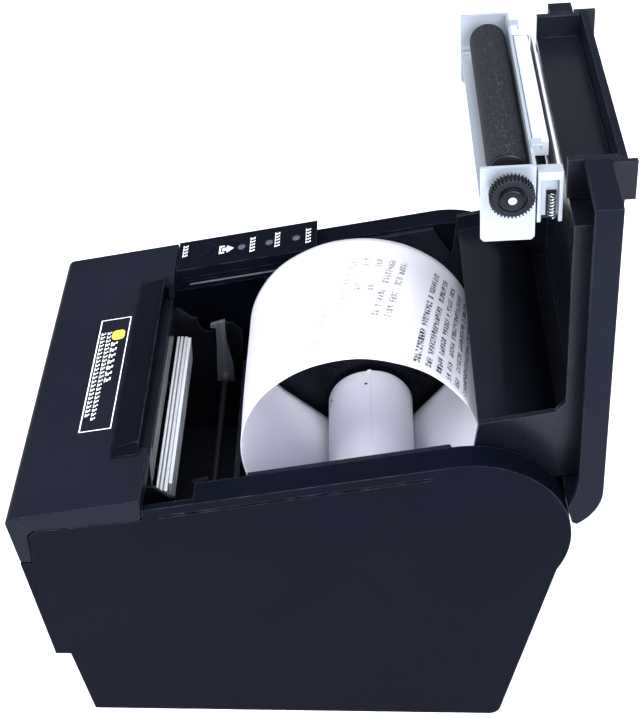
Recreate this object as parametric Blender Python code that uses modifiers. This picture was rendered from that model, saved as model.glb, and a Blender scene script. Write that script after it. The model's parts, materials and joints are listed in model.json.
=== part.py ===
"""Receipt printer with its paper lid open: case, covers, print mechanism, paper bin and lid.

Metres, +Z up. +X is the user's right, -Y the front. The origin is on the resting plane, under
the middle of the bounding box. Sizes inside functions are in millimetres and pass through mm().
The lid's parts are modelled in the lid's own frame: x across, u (local Y) outwards from the
hinge axis, v (local Z) from the hinge towards the lid's front edge.
"""

from math import atan2, cos, degrees, hypot, pi, radians, sin, sqrt, tan

import bmesh
import bpy
from mathutils import Matrix, Vector

# Driving dimensions, in millimetres and degrees.
WIDTH = 148.0
CENTRE_SHIFT_Y = -1.01
WALL = 2.5
GAP = 0.3
TOP_SLOPE = 12.0
FRONT_Y, FRONT_Z = -98.7, 102.9
LIP_Y, LIP_Z = -88.8, 33.5
BASE_FRONT_Y, BASE_REAR_Y, BASE_Z = -77.3, 75.9, 1.5
STEP_Y = -83.3
COVER_REAR_Y = -52.2
PANEL_REAR_Y = 4.3
PANEL_INNER_X = -54.5
LEDGE_DROP = 4.5
SEAM_DROP = 8.8
EAR_Y, EAR_Z, EAR_R = 58.0, 96.8, 34.1
WELL_HALF_X = 64.3
HINGE_Y, HINGE_Z = 69.5, 111.0
LID_LEAN = 4.2
LID_OPENING = 97.8
LID_UNDER_U, LID_TOP_U, HUMP_U = 23.2, 31.2, 36.0
CHEEK_U = 38.8
LID_FRONT_V, LID_NOTCH_V, LID_NOTCH_X = 117.5, 60.5, -54.0
HUMP_HALF_X = 47.0
PLATEN_U, PLATEN_V, PLATEN_R = 1.6, 111.0, 6.2
PLATEN_HALF_X = 41.0
GEAR_MODULE = 0.358
PLATEN_TEETH, IDLER_TEETH, REDUCER_TEETH, PINION_TEETH = 36, 30, 48, 22
CUTTER_TEETH = 22
GEAR_X, GEAR_FACE = 54.8, 4.0
PAPER_HALF_X = 39.75
ROLL_Y, ROLL_Z, ROLL_R = 27.0, 57.3, 17.6
LOOP_Y, LOOP_Z, LOOP_R = 21.5, 104.0, 42.5
BIN_HALF_X, BIN_Y, BIN_Z, BIN_R = 42.0, 22.0, 84.0, 46.0
HEAD_REAR_Y = -45.9
BLADE_Z = 103.4
BUTTON_X, BUTTON_Y, BUTTON_R = -66.1, -41.1, 4.2

HALF_X = WIDTH / 2
SLOPE = tan(radians(TOP_SLOPE))

PLASTIC = ("case_plastic", (0.016, 0.018, 0.024), 0.42, 0.0)
INNER_PLASTIC = ("inner_plastic", (0.011, 0.012, 0.016), 0.25, 0.0)
RUBBER = ("rubber", (0.05, 0.05, 0.055), 0.85, 0.0)
STEEL = ("steel", (0.62, 0.63, 0.65), 0.28, 1.0)
ZINC = ("zinc_sheet", (0.78, 0.79, 0.8), 0.32, 1.0)
GEAR_PLASTIC = ("gear_plastic", (0.02, 0.02, 0.022), 0.45, 0.0)
CERAMIC = ("ceramic", (0.55, 0.56, 0.58), 0.2, 0.0)
PAPER = ("paper", (0.86, 0.86, 0.9), 0.7, 0.0)
BOARD = ("circuit_board", (0.02, 0.13, 0.06), 0.5, 0.0)
LENS = ("led_lens", (0.35, 0.37, 0.4), 0.3, 0.0)


def clear_scene():
    for obj in list(bpy.data.objects):
        bpy.data.objects.remove(obj, do_unlink=True)


def new_collection(name):
    collection = bpy.data.collections.new(name)
    bpy.context.scene.collection.children.link(collection)
    return collection


clear_scene()
PARTS = new_collection("receipt_printer")
CUTTERS = new_collection("cutters")


def mm(value):
    """Millimetres to metres, for a number or for a list of points."""
    if isinstance(value, (int, float)):
        return value / 1000
    return [tuple(number / 1000 for number in point) for point in value]


def material(look):
    name, colour, roughness, metallic = look
    if name in bpy.data.materials:
        return bpy.data.materials[name]
    made = bpy.data.materials.new(name)
    made.use_nodes = True
    shader = made.node_tree.nodes["Principled BSDF"]
    shader.inputs["Base Color"].default_value = (*colour, 1)
    shader.inputs["Roughness"].default_value = roughness
    shader.inputs["Metallic"].default_value = metallic
    return made


def add_object(name, mesh, look, parent=None):
    """A part when it has a look, otherwise a cutter or a piece to be joined on."""
    obj = bpy.data.objects.new(name, mesh)
    obj.parent = parent
    if look is None:
        CUTTERS.objects.link(obj)
        obj.hide_render = True
        obj.display_type = "WIRE"
        return obj
    PARTS.objects.link(obj)
    mesh.materials.clear()
    mesh.materials.append(material(look))
    mesh.set_sharp_from_angle(angle=radians(35))
    mesh.shade_smooth()
    return obj


def add_pivot(name, y, z, x=0.0, turn=(0.0, 0.0, 0.0)):
    pivot = bpy.data.objects.new(name, None)
    PARTS.objects.link(pivot)
    pivot.location = (mm(x), mm(y), mm(z))
    pivot.rotation_euler = turn
    return pivot


def filled_mesh(name, outlines, thickness):
    """A flat plate in the local XY plane: the first outline, less the others."""
    curve = bpy.data.curves.new(name, "CURVE")
    curve.dimensions = "2D"
    curve.fill_mode = "BOTH"
    curve.extrude = mm(thickness / 2)
    for outline in outlines:
        spline = curve.splines.new("POLY")
        spline.points.add(len(outline) - 1)
        for point, (a, b) in zip(spline.points, mm(outline)):
            point.co = (a, b, 0, 1)
        spline.use_cyclic_u = True
    holder = bpy.data.objects.new(name, curve)
    bpy.context.scene.collection.objects.link(holder)
    graph = bpy.context.evaluated_depsgraph_get()
    mesh = bpy.data.meshes.new_from_object(holder.evaluated_get(graph))
    bpy.data.objects.remove(holder, do_unlink=True)
    work = bmesh.new()
    work.from_mesh(mesh)
    bmesh.ops.remove_doubles(work, verts=work.verts, dist=1e-6)
    bmesh.ops.recalc_face_normals(work, faces=work.faces)
    work.to_mesh(mesh)
    work.free()
    return mesh


def prism(name, outline, x0, x1, look=None, parent=None, holes=()):
    """An outline of (y, z) points carried along X."""
    mesh = filled_mesh(name, [outline, *holes], x1 - x0)
    turn = Matrix(((0, 0, 1, mm((x0 + x1) / 2)), (1, 0, 0, 0), (0, 1, 0, 0), (0, 0, 0, 1)))
    mesh.transform(turn)
    return add_object(name, mesh, look, parent)


def slab(name, outline, y0, y1, look=None, parent=None, holes=()):
    """An outline of (x, z) points carried along Y."""
    mesh = filled_mesh(name, [outline, *holes], y1 - y0)
    turn = Matrix(((1, 0, 0, 0), (0, 0, -1, mm((y0 + y1) / 2)), (0, 1, 0, 0), (0, 0, 0, 1)))
    mesh.transform(turn)
    return add_object(name, mesh, look, parent)


def box(name, low, high, look=None, parent=None, tilt=0.0):
    """A box between two corners, turned by tilt degrees about X through its centre."""
    mesh = bpy.data.meshes.new(name)
    work = bmesh.new()
    bmesh.ops.create_cube(work, size=1)
    size = [mm(b - a) for a, b in zip(low, high)]
    centre = Vector([mm((a + b) / 2) for a, b in zip(low, high)])
    shape = Matrix.Rotation(radians(tilt), 4, "X") @ Matrix.Diagonal((*size, 1))
    bmesh.ops.transform(work, matrix=Matrix.Translation(centre) @ shape, verts=work.verts)
    work.to_mesh(mesh)
    work.free()
    return add_object(name, mesh, look, parent)


def cylinder(name, radius, start, end, look=None, parent=None, sides=32):
    """A round bar between two points."""
    a, b = Vector(mm([start])[0]), Vector(mm([end])[0])
    mesh = bpy.data.meshes.new(name)
    work = bmesh.new()
    bmesh.ops.create_cone(
        work, cap_ends=True, segments=sides, radius1=mm(radius), radius2=mm(radius), depth=(b - a).length
    )
    turn = (b - a).to_track_quat("Z", "Y").to_matrix().to_4x4()
    bmesh.ops.transform(work, matrix=Matrix.Translation((a + b) / 2) @ turn, verts=work.verts)
    work.to_mesh(mesh)
    work.free()
    return add_object(name, mesh, look, parent)


def combine(obj, others, operation="DIFFERENCE"):
    for other in others:
        modifier = obj.modifiers.new(f"{operation.lower()}_{other.name}", "BOOLEAN")
        modifier.operation = operation
        modifier.object = other
        modifier.solver = "EXACT"
    return obj


def cut(obj, *cutters):
    return combine(obj, cutters)


def join(obj, *others):
    return combine(obj, others, "UNION")


def bevel(obj, width, segments=2, angle=40):
    modifier = obj.modifiers.new("edges", "BEVEL")
    modifier.width = mm(width)
    modifier.segments = segments
    modifier.limit_method = "ANGLE"
    modifier.angle_limit = radians(angle)
    return obj


def arc(y, z, radius, start, end, steps):
    """Points along an arc, by angle in degrees from +Y towards +Z."""
    turns = [radians(start + (end - start) * i / steps) for i in range(steps + 1)]
    return [(y + radius * cos(turn), z + radius * sin(turn)) for turn in turns]


def top_z(y, drop=0.0):
    """Height of the sloping top plane, less a drop."""
    return FRONT_Z + (y - FRONT_Y) * SLOPE - drop


def front_y(z):
    """The front wall's place at a height: it leans back towards the base."""
    return LIP_Y + (z - LIP_Z) * (FRONT_Y - LIP_Y) / (FRONT_Z - LIP_Z)


def inset(outline, distance):
    """The outline moved inwards by a distance: each edge is moved, then neighbours are crossed."""
    count = len(outline)
    moved = []
    for i in range(count):
        (y0, z0), (y1, z1) = outline[i], outline[(i + 1) % count]
        length = hypot(y1 - y0, z1 - z0)
        dy, dz = (y1 - y0) / length, (z1 - z0) / length
        moved.append((y0 - dz * distance, z0 + dy * distance, dy, dz))
    points = []
    for i in range(count):
        y0, z0, dy0, dz0 = moved[i - 1]
        y1, z1, dy1, dz1 = moved[i]
        cross = dy0 * dz1 - dz0 * dy1
        if abs(cross) < 1e-6:
            points.append((y1, z1))
            continue
        t = ((y1 - y0) * dz1 - (z1 - z0) * dy1) / cross
        points.append((y0 + dy0 * t, z0 + dz0 * t))
    return points


def case_outline():
    """Side view of the case: base, rear wall, round hinge ear, sloping ledge, seam and front."""
    rear_foot = arc(BASE_REAR_Y - 4, BASE_Z + 4, 4, -90, -8, 4)
    ear = arc(EAR_Y, EAR_Z, EAR_R, -24.8, 90 + TOP_SLOPE, 26)
    ledge_front = COVER_REAR_Y + GAP
    return [
        (BASE_FRONT_Y, BASE_Z),
        *rear_foot,
        *ear,
        (ledge_front, top_z(ledge_front, LEDGE_DROP)),
        (ledge_front, top_z(ledge_front, SEAM_DROP + GAP)),
        (-88.6, top_z(-88.6, SEAM_DROP - 1.6 + GAP)),
        (-91.2, top_z(-88.6, SEAM_DROP + 1.0 + GAP)),
        (-91.2, 81.7),
        (front_y(81.7), 81.7),
        (LIP_Y, LIP_Z),
        (STEP_Y, LIP_Z),
    ]


def cover_outline():
    """Side view of the front cover: top plane, front apron and the stepped seam."""
    seam = COVER_REAR_Y
    nose = arc(FRONT_Y + 3.2, FRONT_Z - 2.4, 3.1, 172, 102, 4)
    return [
        (front_y(82.0), 82.0),
        (-91.5, 82.0),
        (-91.5, top_z(-88.6, SEAM_DROP + 1.0)),
        (-88.6, top_z(-88.6, SEAM_DROP - 1.6)),
        (seam, top_z(seam, SEAM_DROP)),
        (seam, top_z(seam)),
        *reversed(nose),
    ]


def make_case():
    outer = case_outline()
    case = prism("main_case", outer, -HALF_X, HALF_X, PLASTIC)
    room = prism("case_room", inset(outer, WALL), WALL - HALF_X, HALF_X - WALL)
    ears = box("ear_keep", (-HALF_X, 24, 83), (HALF_X, 110, 150))
    cut(room, ears)
    middle = [(-87, 60), (60, 60), (83, 60), (87.5, 106), (112, 108), (112, 180), (-87, 180)]
    well = prism("case_well", middle, -WELL_HALF_X, WELL_HALF_X)
    floor_front = BASE_FRONT_Y + 3.6
    floor = box("case_floor_opening", (WALL - HALF_X, floor_front, -5), (HALF_X - WALL, 72, 8))
    sockets = box("socket_window", (-44, 60, 8.5), (40, 110, 25))
    switch = box("switch_window", (48.7, 60, 12.7), (59.3, 110, 27.3))
    notch = box("ledge_notch", (62, COVER_REAR_Y - 2, 92), (HALF_X - WALL, -34.7, 125))
    cut(case, room, well, floor, sockets, switch, notch)
    for side in (-1, 1):
        pin = cylinder(
            f"pin_hole_{side}", 2.6, (side * 60, HINGE_Y, HINGE_Z), (side * 70, HINGE_Y, HINGE_Z)
        )
        front, rear, low, high = -46, 44, LEDGE_DROP + 4.6, LEDGE_DROP + 3.7
        band = [
            (front, top_z(front, low)),
            (rear, top_z(rear, low)),
            (rear, top_z(rear, high)),
            (front, top_z(front, high)),
        ]
        inner, outer_x = sorted((side * (HALF_X - 0.7), side * (HALF_X + 3)))
        cut(case, pin, prism(f"side_groove_{side}", band, inner, outer_x))
    return bevel(case, 1.0, 2, 50)


def make_base():
    pan = box("base_pan", (-71.1, -73.3, 3.2), (71.1, 71.6, 5.4), PLASTIC)
    places = [(x, y) for x in (-58, 58) for y in (-62, 58)]
    for number, (x, y) in enumerate(places, 1):
        hole = cylinder(f"foot_hole_{number}", 3.3, (x, y, 0), (x, y, 9), sides=24)
        cut(pan, hole)
        foot = cylinder(f"foot_{number}", 6.5, (x, y, 0), (x, y, 2.9), RUBBER, sides=24)
        join(foot, cylinder(f"foot_plug_{number}", 3.0, (x, y, 2.0), (x, y, 6.2), sides=24))
        inside = x - 12 if x > 0 else x + 12
        low, middle, high = [(inside, y, z) for z in (1.3, 2.9, 6.6)]
        bore = cylinder(f"base_screw_hole_{number}", 1.9, (inside, y, 0), (inside, y, 9), sides=16)
        cut(pan, bore)
        screw = cylinder(f"base_screw_{number}", 1.6, (inside, y, 1.9), high, STEEL, sides=16)
        join(screw, cylinder(f"base_screw_head_{number}", 3.0, low, middle, sides=16))


def make_front_cover():
    outer = cover_outline()
    cover = prism("front_cover", outer, -HALF_X, HALF_X, PLASTIC)
    rear = COVER_REAR_Y - WALL
    inner_nose = FRONT_Y + WALL + 0.6
    hollow = [
        (inner_nose + 3.0, 70),
        (rear, 70),
        (rear, top_z(rear, WALL)),
        (inner_nose, top_z(inner_nose, WALL)),
    ]
    room = prism("cover_room", hollow, WALL - HALF_X, HALF_X - WALL)
    mouth = box("cover_mouth", (-HUMP_HALF_X - GAP, -65.3, 90), (HUMP_HALF_X + GAP, -40, 140))
    cut(cover, room, mouth)
    return bevel(cover, 0.8, 2, 50)


def make_exit_lip():
    """The raised lip in front of the paper mouth: a wedge with a cheek at each end."""
    front, rear, rise = -65.0, -55.3, 2.7
    outline = [
        (front, top_z(front, 3.4)),
        (rear - 1.2, top_z(rear, 6.2)),
        (rear, top_z(rear, 6.0)),
        (rear, top_z(rear, -rise)),
        (rear - 1.6, top_z(rear, -rise) - 0.1),
        (front, top_z(front, -1.0)),
    ]
    lip = prism("paper_exit_lip", outline, -HUMP_HALF_X, HUMP_HALF_X, PLASTIC)
    hollow = [
        (front + 1.6, top_z(front, 12)),
        (rear - 1.8, top_z(front, 12)),
        (rear - 1.8, top_z(rear, 0.0)),
        (front + 1.6, top_z(front, 1.6)),
    ]
    for side in (-1, 1):
        join(lip, make_lip_ramp(side, front, rear, rise))
    cut(lip, prism("lip_room", hollow, 2 - HUMP_HALF_X, HUMP_HALF_X - 2))
    return bevel(lip, 0.5, 2, 50)


def make_lip_ramp(side, front, rear, rise):
    """The lip's end slopes down outwards onto the top plane."""
    inner, outer = side * (HUMP_HALF_X - 0.5), side * (HUMP_HALF_X + 4.2)
    points = []
    for y, top in ((front, 1.0), (rear, rise)):
        for x, drop in ((inner, -top), (inner, -GAP), (outer, -0.7), (outer, -GAP)):
            points.append((x, y, top_z(y, drop)))
    mesh = bpy.data.meshes.new(f"lip_ramp_{side}")
    work = bmesh.new()
    for point in mm(points):
        work.verts.new(point)
    bmesh.ops.convex_hull(work, input=work.verts)
    bmesh.ops.recalc_face_normals(work, faces=work.faces)
    work.to_mesh(mesh)
    work.free()
    return add_object(f"lip_ramp_{side}", mesh, None)


def panel_point(x, y, rise):
    """A point over the control panel, a height above the top plane along its normal."""
    lean = radians(TOP_SLOPE)
    return (x, y - rise * sin(lean), top_z(y) + rise * cos(lean))


def panel_disc(name, radius, x, y, low, high, look=None, parent=None, sides=24):
    return cylinder(name, radius, panel_point(x, y, low), panel_point(x, y, high), look, parent, sides)


def make_control_panel():
    front, rear = COVER_REAR_Y + GAP, PANEL_REAR_Y
    under = LEDGE_DROP - GAP
    outline = [
        (front, top_z(front, under)),
        (rear, top_z(rear, under)),
        (rear, top_z(rear)),
        (front, top_z(front)),
    ]
    panel = prism("control_panel", outline, -HALF_X, PANEL_INNER_X, PLASTIC)
    cut(panel, panel_disc("button_hole", BUTTON_R + GAP, BUTTON_X, BUTTON_Y, -8, 6))
    pivot = add_pivot("feed_button_slide", BUTTON_Y, top_z(BUTTON_Y), BUTTON_X)
    button = panel_disc("feed_button", BUTTON_R, BUTTON_X, BUTTON_Y, -2.9, 0.5, PLASTIC)
    button.data.transform(Matrix.Translation(-pivot.location))
    button.parent = pivot
    bevel(button, 0.4, 2)
    for name, y in (("led_paper", -26.1), ("led_error", -14.9), ("led_power", -4.1)):
        cut(panel, panel_disc(f"{name}_hole", 1.85, -64.3, y, -8, 6, sides=16))
        panel_disc(name, 1.6, -64.3, y, -3.6, -0.1, LENS, sides=16)
    for name, outer_x, low in (("upper", PANEL_INNER_X, 6.2), ("lower", PANEL_INNER_X - 0.8, 10.5)):
        edge = [
            (front, top_z(front, low)),
            (rear, top_z(rear, low)),
            (rear, top_z(rear, 3)),
            (front, top_z(front, 3)),
        ]
        join(panel, prism(f"panel_skirt_{name}", edge, PANEL_INNER_X - 1.6, outer_x))
    bevel(panel, 0.6, 2, 50)
    make_control_board(-48, 1)


def make_control_board(front, rear):
    """A narrow board beside the button and lights, parallel to the panel."""
    low, high = LEDGE_DROP + 3.5, LEDGE_DROP + 2.1
    outline = [
        (front, top_z(front, low)),
        (rear, top_z(rear, low)),
        (rear, top_z(rear, high)),
        (front, top_z(front, high)),
    ]
    prism("control_board", outline, -61.6, -56.6, BOARD)


def bin_trough(radius, top_front, top_rear):
    """Round-bottomed side view of the paper bin."""
    return [
        (BIN_Y + radius, top_rear),
        (BIN_Y - radius, top_front),
        *arc(BIN_Y, BIN_Z, radius, 180, 360, 28),
    ]


def make_paper_bin():
    thick = 2.0
    outside = BIN_HALF_X + thick
    trough = bin_trough(BIN_R + thick, 84.5, 84.5)
    paper_bin = prism("paper_bin", trough, -outside, outside, INNER_PLASTIC)
    shelf_front, shelf_rear = -17.0, 70.0
    upper = [
        (shelf_front, 82),
        (shelf_rear, 82),
        (shelf_rear, 100),
        (50.0, top_z(50.0, LEDGE_DROP + 0.8)),
        (shelf_front, top_z(shelf_front, LEDGE_DROP + 0.8)),
    ]
    half = WELL_HALF_X - 0.4
    join(paper_bin, prism("bin_upper", upper, -half, half))
    deep = prism("bin_deep_room", bin_trough(BIN_R, 150, 150), -BIN_HALF_X, BIN_HALF_X)
    wide = box("bin_wide_room", (2 - half, -40, 84), (half - 2, 110, 160))
    cut(paper_bin, deep, wide)
    front_low = box("bin_front_low", (-60, -40, 76), (60, shelf_front - 0.1, 120))
    window = box("sensor_window", (-50, 11, 44), (-40, 19, 58))
    cut(paper_bin, front_low, window)
    return paper_bin


def make_low_paper_lever(paper_bin):
    """A bell crank beside the bin: its nose reaches through the bin's side wall."""
    y, x, z = 15.0, -47.0, 61.0
    pivot = add_pivot("low_paper_lever_pivot", y, z, x)
    outline = [(-2.2, 3), (-2.2, -9), (5.9, -11.5), (5.9, -8), (2.2, -6), (2.2, 3)]
    lever = slab("low_paper_lever", outline, -2, 2, GEAR_PLASTIC, pivot)
    cut(lever, cylinder("lever_bore", 1.1, (0, -3, 0), (0, 3, 0), parent=pivot, sides=16))
    join(paper_bin, cylinder("lever_axle", 1.0, (x, y - 4, z), (x, y + 4, z), sides=16))
    for side in (-1, 1):
        y0, y1 = sorted((y + side * 2.8, y + side * 4.6))
        low, high = (x - 1.8, y0, z - 1.8), (-BIN_HALF_X - 1, y1, z + 1.8)
        join(paper_bin, box(f"lever_lug_{side}", low, high))


def loop_outline(big, small):
    """A loose loop of paper: a large arc above, closing in round the roll below."""
    dy, dz = LOOP_Y - ROLL_Y, LOOP_Z - ROLL_Z
    reach = hypot(dy, dz)
    turn = degrees(atan2(dz, dy))
    spread = 90 + degrees(atan2(big - small, sqrt(reach**2 - (big - small) ** 2)))
    above = arc(LOOP_Y, LOOP_Z, big, turn - spread, turn + spread, 40)
    below = arc(ROLL_Y, ROLL_Z, small, turn + spread, turn + 360 - spread, 12)
    return above + below


def make_paper():
    sheet = 0.4
    outer = loop_outline(LOOP_R, ROLL_R + 0.9)
    inner = loop_outline(LOOP_R - sheet, ROLL_R + 0.9 - sheet)
    prism("paper_loop", outer, -PAPER_HALF_X, PAPER_HALF_X, PAPER, holes=(inner,))
    spin = add_pivot("paper_roll_spin", ROLL_Y, ROLL_Z)
    core, wide, narrow = 6.4, PAPER_HALF_X, PAPER_HALF_X - 0.5
    roll = cylinder("paper_roll", ROLL_R, (-wide, 0, 0), (wide, 0, 0), PAPER, spin, sides=48)
    cut(roll, cylinder("core_bore", core + GAP, (-50, 0, 0), (50, 0, 0), parent=spin))
    tube = cylinder("paper_core", core, (-narrow, 0, 0), (narrow, 0, 0), PAPER, spin)
    cut(tube, cylinder("core_hollow", core - 1.2, (-50, 0, 0), (50, 0, 0), parent=spin))


def closed_place(u, v):
    """Where a point of the lid lies once the lid is closed, as (y, z)."""
    turn = radians(LID_LEAN + LID_OPENING)
    return (HINGE_Y + u * cos(turn) - v * sin(turn), HINGE_Z + u * sin(turn) + v * cos(turn))


def pitch_radius(teeth):
    return GEAR_MODULE * teeth / 2


def gear_outline(teeth, phase):
    """Tooth centres start at the phase angle, in degrees. Each tooth has four corners."""
    middle = pitch_radius(teeth)
    root, tip = middle - 1.15 * GEAR_MODULE, middle + 0.9 * GEAR_MODULE
    pitch = 360 / teeth
    points = []
    for tooth in range(teeth):
        centre = phase + tooth * pitch
        for radius, share in ((root, -0.27), (tip, -0.13), (tip, 0.13), (root, 0.27)):
            turn = radians(centre + share * pitch)
            points.append((radius * cos(turn), radius * sin(turn)))
    return points


def make_gear(name, teeth, phase, pivot, bore):
    """A spur gear with a dished face round its boss."""
    low, high = GEAR_X - GEAR_FACE / 2, GEAR_X + GEAR_FACE / 2
    gear = prism(name, gear_outline(teeth, phase), low, high, GEAR_PLASTIC, pivot)
    rows = (
        ("dish", pitch_radius(teeth) * 0.7, high - 0.9, high + 2, cut),
        ("boss", bore + 1.2, low + 0.5, high - 0.2, join),
        ("bore", bore, low - 2, high + 2, cut),
    )
    for part, radius, start, end, apply in rows:
        apply(gear, cylinder(f"{name}_{part}", radius, (start, 0, 0), (end, 0, 0), parent=pivot, sides=24))
    return gear


def meshed_phase(from_place, from_teeth, from_phase, to_place, to_teeth):
    """The phase that puts a gap of the second gear opposite a tooth of the first."""
    line = degrees(atan2(to_place[1] - from_place[1], to_place[0] - from_place[0]))
    return line + 180 + 180 / to_teeth - (from_phase - line) * from_teeth / to_teeth


def crossing(a, b, reach_a, reach_b):
    """The point that lies the two reaches away from a and b, on the front side."""
    span = hypot(b[0] - a[0], b[1] - a[1])
    along = (reach_a**2 - reach_b**2 + span**2) / (2 * span)
    off = sqrt(reach_a**2 - along**2)
    dy, dz = (b[0] - a[0]) / span, (b[1] - a[1]) / span
    return (a[0] + dy * along - dz * off, a[1] + dz * along + dy * off)


def gear_places():
    """Centres of the platen gear (lid closed), idler, reducer and motor pinion, as (y, z)."""
    backlash = 0.12
    platen = closed_place(PLATEN_U, PLATEN_V)
    reach = pitch_radius(PLATEN_TEETH) + pitch_radius(IDLER_TEETH) + backlash
    down = radians(240)
    idler = (platen[0] + reach * cos(down), platen[1] + reach * sin(down))
    motor = (-58.0, 57.5)
    reach_idler = pitch_radius(IDLER_TEETH) + pitch_radius(REDUCER_TEETH) + backlash
    reach_motor = pitch_radius(PINION_TEETH) + pitch_radius(REDUCER_TEETH) + backlash
    reducer = crossing(idler, motor, reach_idler, reach_motor)
    return platen, idler, reducer, motor


def make_gear_train():
    platen, idler, reducer, motor = gear_places()
    closed_phase = LID_LEAN + LID_OPENING
    idler_phase = meshed_phase(platen, PLATEN_TEETH, closed_phase, idler, IDLER_TEETH)
    reducer_phase = meshed_phase(idler, IDLER_TEETH, idler_phase, reducer, REDUCER_TEETH)
    pinion_phase = meshed_phase(reducer, REDUCER_TEETH, reducer_phase, motor, PINION_TEETH)
    axle_start, axle_end = 51.0, 57.6
    studs = []
    rows = (
        ("idler_gear", IDLER_TEETH, idler_phase, idler),
        ("reducer_gear", REDUCER_TEETH, reducer_phase, reducer),
    )
    for name, teeth, phase, (y, z) in rows:
        make_gear(name, teeth, phase, add_pivot(f"{name}_spin", y, z), 1.55)
        studs.append(cylinder(f"{name}_stud", 1.45, (axle_start, y, z), (axle_end, y, z), sides=20))
    y, z = motor
    pivot = add_pivot("motor_pinion_spin", y, z)
    make_gear("motor_pinion", PINION_TEETH, pinion_phase, pivot, 1.3)
    body = cylinder("feed_motor", 12.5, (28, y, z), (49.9, y, z), STEEL)
    join(body, cylinder("feed_motor_shaft", 1.2, (45, y, z), (57.2, y, z), sides=20))
    return motor, studs


def make_mechanism_frame(motor, studs):
    """A folded sheet: side plates with open slots for the platen's ends, gear studs and a floor."""
    side = [
        (-72, 30),
        (-26, 30),
        (-26, 86),
        (-30, 90),
        (-46, 92.5),
        (-51, 97),
        (-66, 97),
        (-72, 90),
    ]
    frame = prism("mechanism_frame", side, -51.6, 51.6, ZINC)
    inner = [(-90, 31.2), (-10, 31.2), (-10, 120), (-90, 120)]
    cut(frame, prism("frame_room", inner, -50.4, 50.4))
    y, z = closed_place(PLATEN_U, PLATEN_V)
    half, lean, lift = 4.1, 11, 14
    seat = arc(y, z, half, 180 + lean, 360 + lean, 12)
    shift_y, shift_z = -lift * sin(radians(lean)), lift * cos(radians(lean))
    top = [(y + shift_y, z + shift_z) for y, z in (seat[-1], seat[0])]
    cut(frame, prism("platen_slot", [*seat, *top], -60, 60))
    cut(frame, cylinder("motor_hole", 2.2, (45, *motor), (60, *motor), sides=24))
    cut(frame, cylinder("hook_hole", 1.75, (-60, -33, 68), (60, -33, 68), sides=24))
    join(frame, *studs)
    return frame


def make_print_head():
    slide = add_pivot("print_head_slide", HEAD_REAR_Y, 84)
    head = box("print_head", (-41.5, HEAD_REAR_Y - 1.3, 78), (41.5, HEAD_REAR_Y, 89.5), CERAMIC)
    sink_front = HEAD_REAR_Y - 5.8
    sink = box("head_heat_sink", (-44, sink_front, 70.8), (44, HEAD_REAR_Y - 1.6, 88), ZINC)
    for step in (0, 1):
        y = HEAD_REAR_Y - 2.9 - step * 1.5
        cut(sink, box(f"sink_groove_{step}", (-50, y - 0.5, 84), (50, y, 100)))
    for obj in (head, sink):
        obj.data.transform(Matrix.Translation(-slide.location))
        obj.parent = slide
        for modifier in obj.modifiers:
            modifier.object.data.transform(Matrix.Translation(-slide.location))
            modifier.object.parent = slide
    box("spring_plate", (-50.1, -62.4, 71), (50.1, -61.2, 84), ZINC)
    for x, name in ((-24, "left"), (24, "right")):
        make_head_spring(f"head_spring_{name}", x, -60.9, sink_front - 0.9, 77.5)


def make_head_spring(name, x, y0, y1, z):
    """A compression spring along Y, as one wire."""
    turns, steps, radius, wire = 4, 10, 2.6, 0.45
    curve = bpy.data.curves.new(name, "CURVE")
    curve.dimensions = "3D"
    curve.bevel_depth = mm(wire)
    curve.bevel_resolution = 0
    curve.use_fill_caps = True
    spline = curve.splines.new("POLY")
    count = turns * steps + 1
    spline.points.add(count - 1)
    for i, point in enumerate(spline.points):
        turn = 2 * pi * i / steps
        y = y0 + wire + (y1 - y0 - 2 * wire) * i / (count - 1)
        point.co = (mm(x + radius * cos(turn)), mm(y), mm(z + radius * sin(turn)), 1)
    spring = bpy.data.objects.new(name, curve)
    curve.materials.append(material(STEEL))
    PARTS.objects.link(spring)
    return spring


def make_platen_hook():
    """Two hooks on one shaft: each nose closes over the platen's shaft when the lid is shut."""
    y, z = -33.0, 68.0
    shaft_y, shaft_z = closed_place(PLATEN_U, PLATEN_V)
    pivot = add_pivot("platen_hook_pivot", y, z)
    dy, dz = shaft_y - y, shaft_z - z
    outline = [
        (-3.4, -3.4),
        (3.4, -3.4),
        (3.4, 4),
        (0.8, dz - 4),
        (0.6, dz + 6.2),
        (dy + 1.2, dz + 4.2),
        (dy + 1.2, dz + 2.9),
        (dy + 3.4, dz + 2.9),
        (dy + 3.4, dz - 6),
        (-3.4, 4),
    ]
    hook = prism("platen_hook", outline, 44, 46, ZINC, pivot)
    join(hook, prism("platen_hook_far", outline, -46, -44, parent=pivot))
    join(hook, cylinder("hook_shaft", 1.5, (-53, 0, 0), (53, 0, 0), parent=pivot, sides=20))
    return hook


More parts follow.
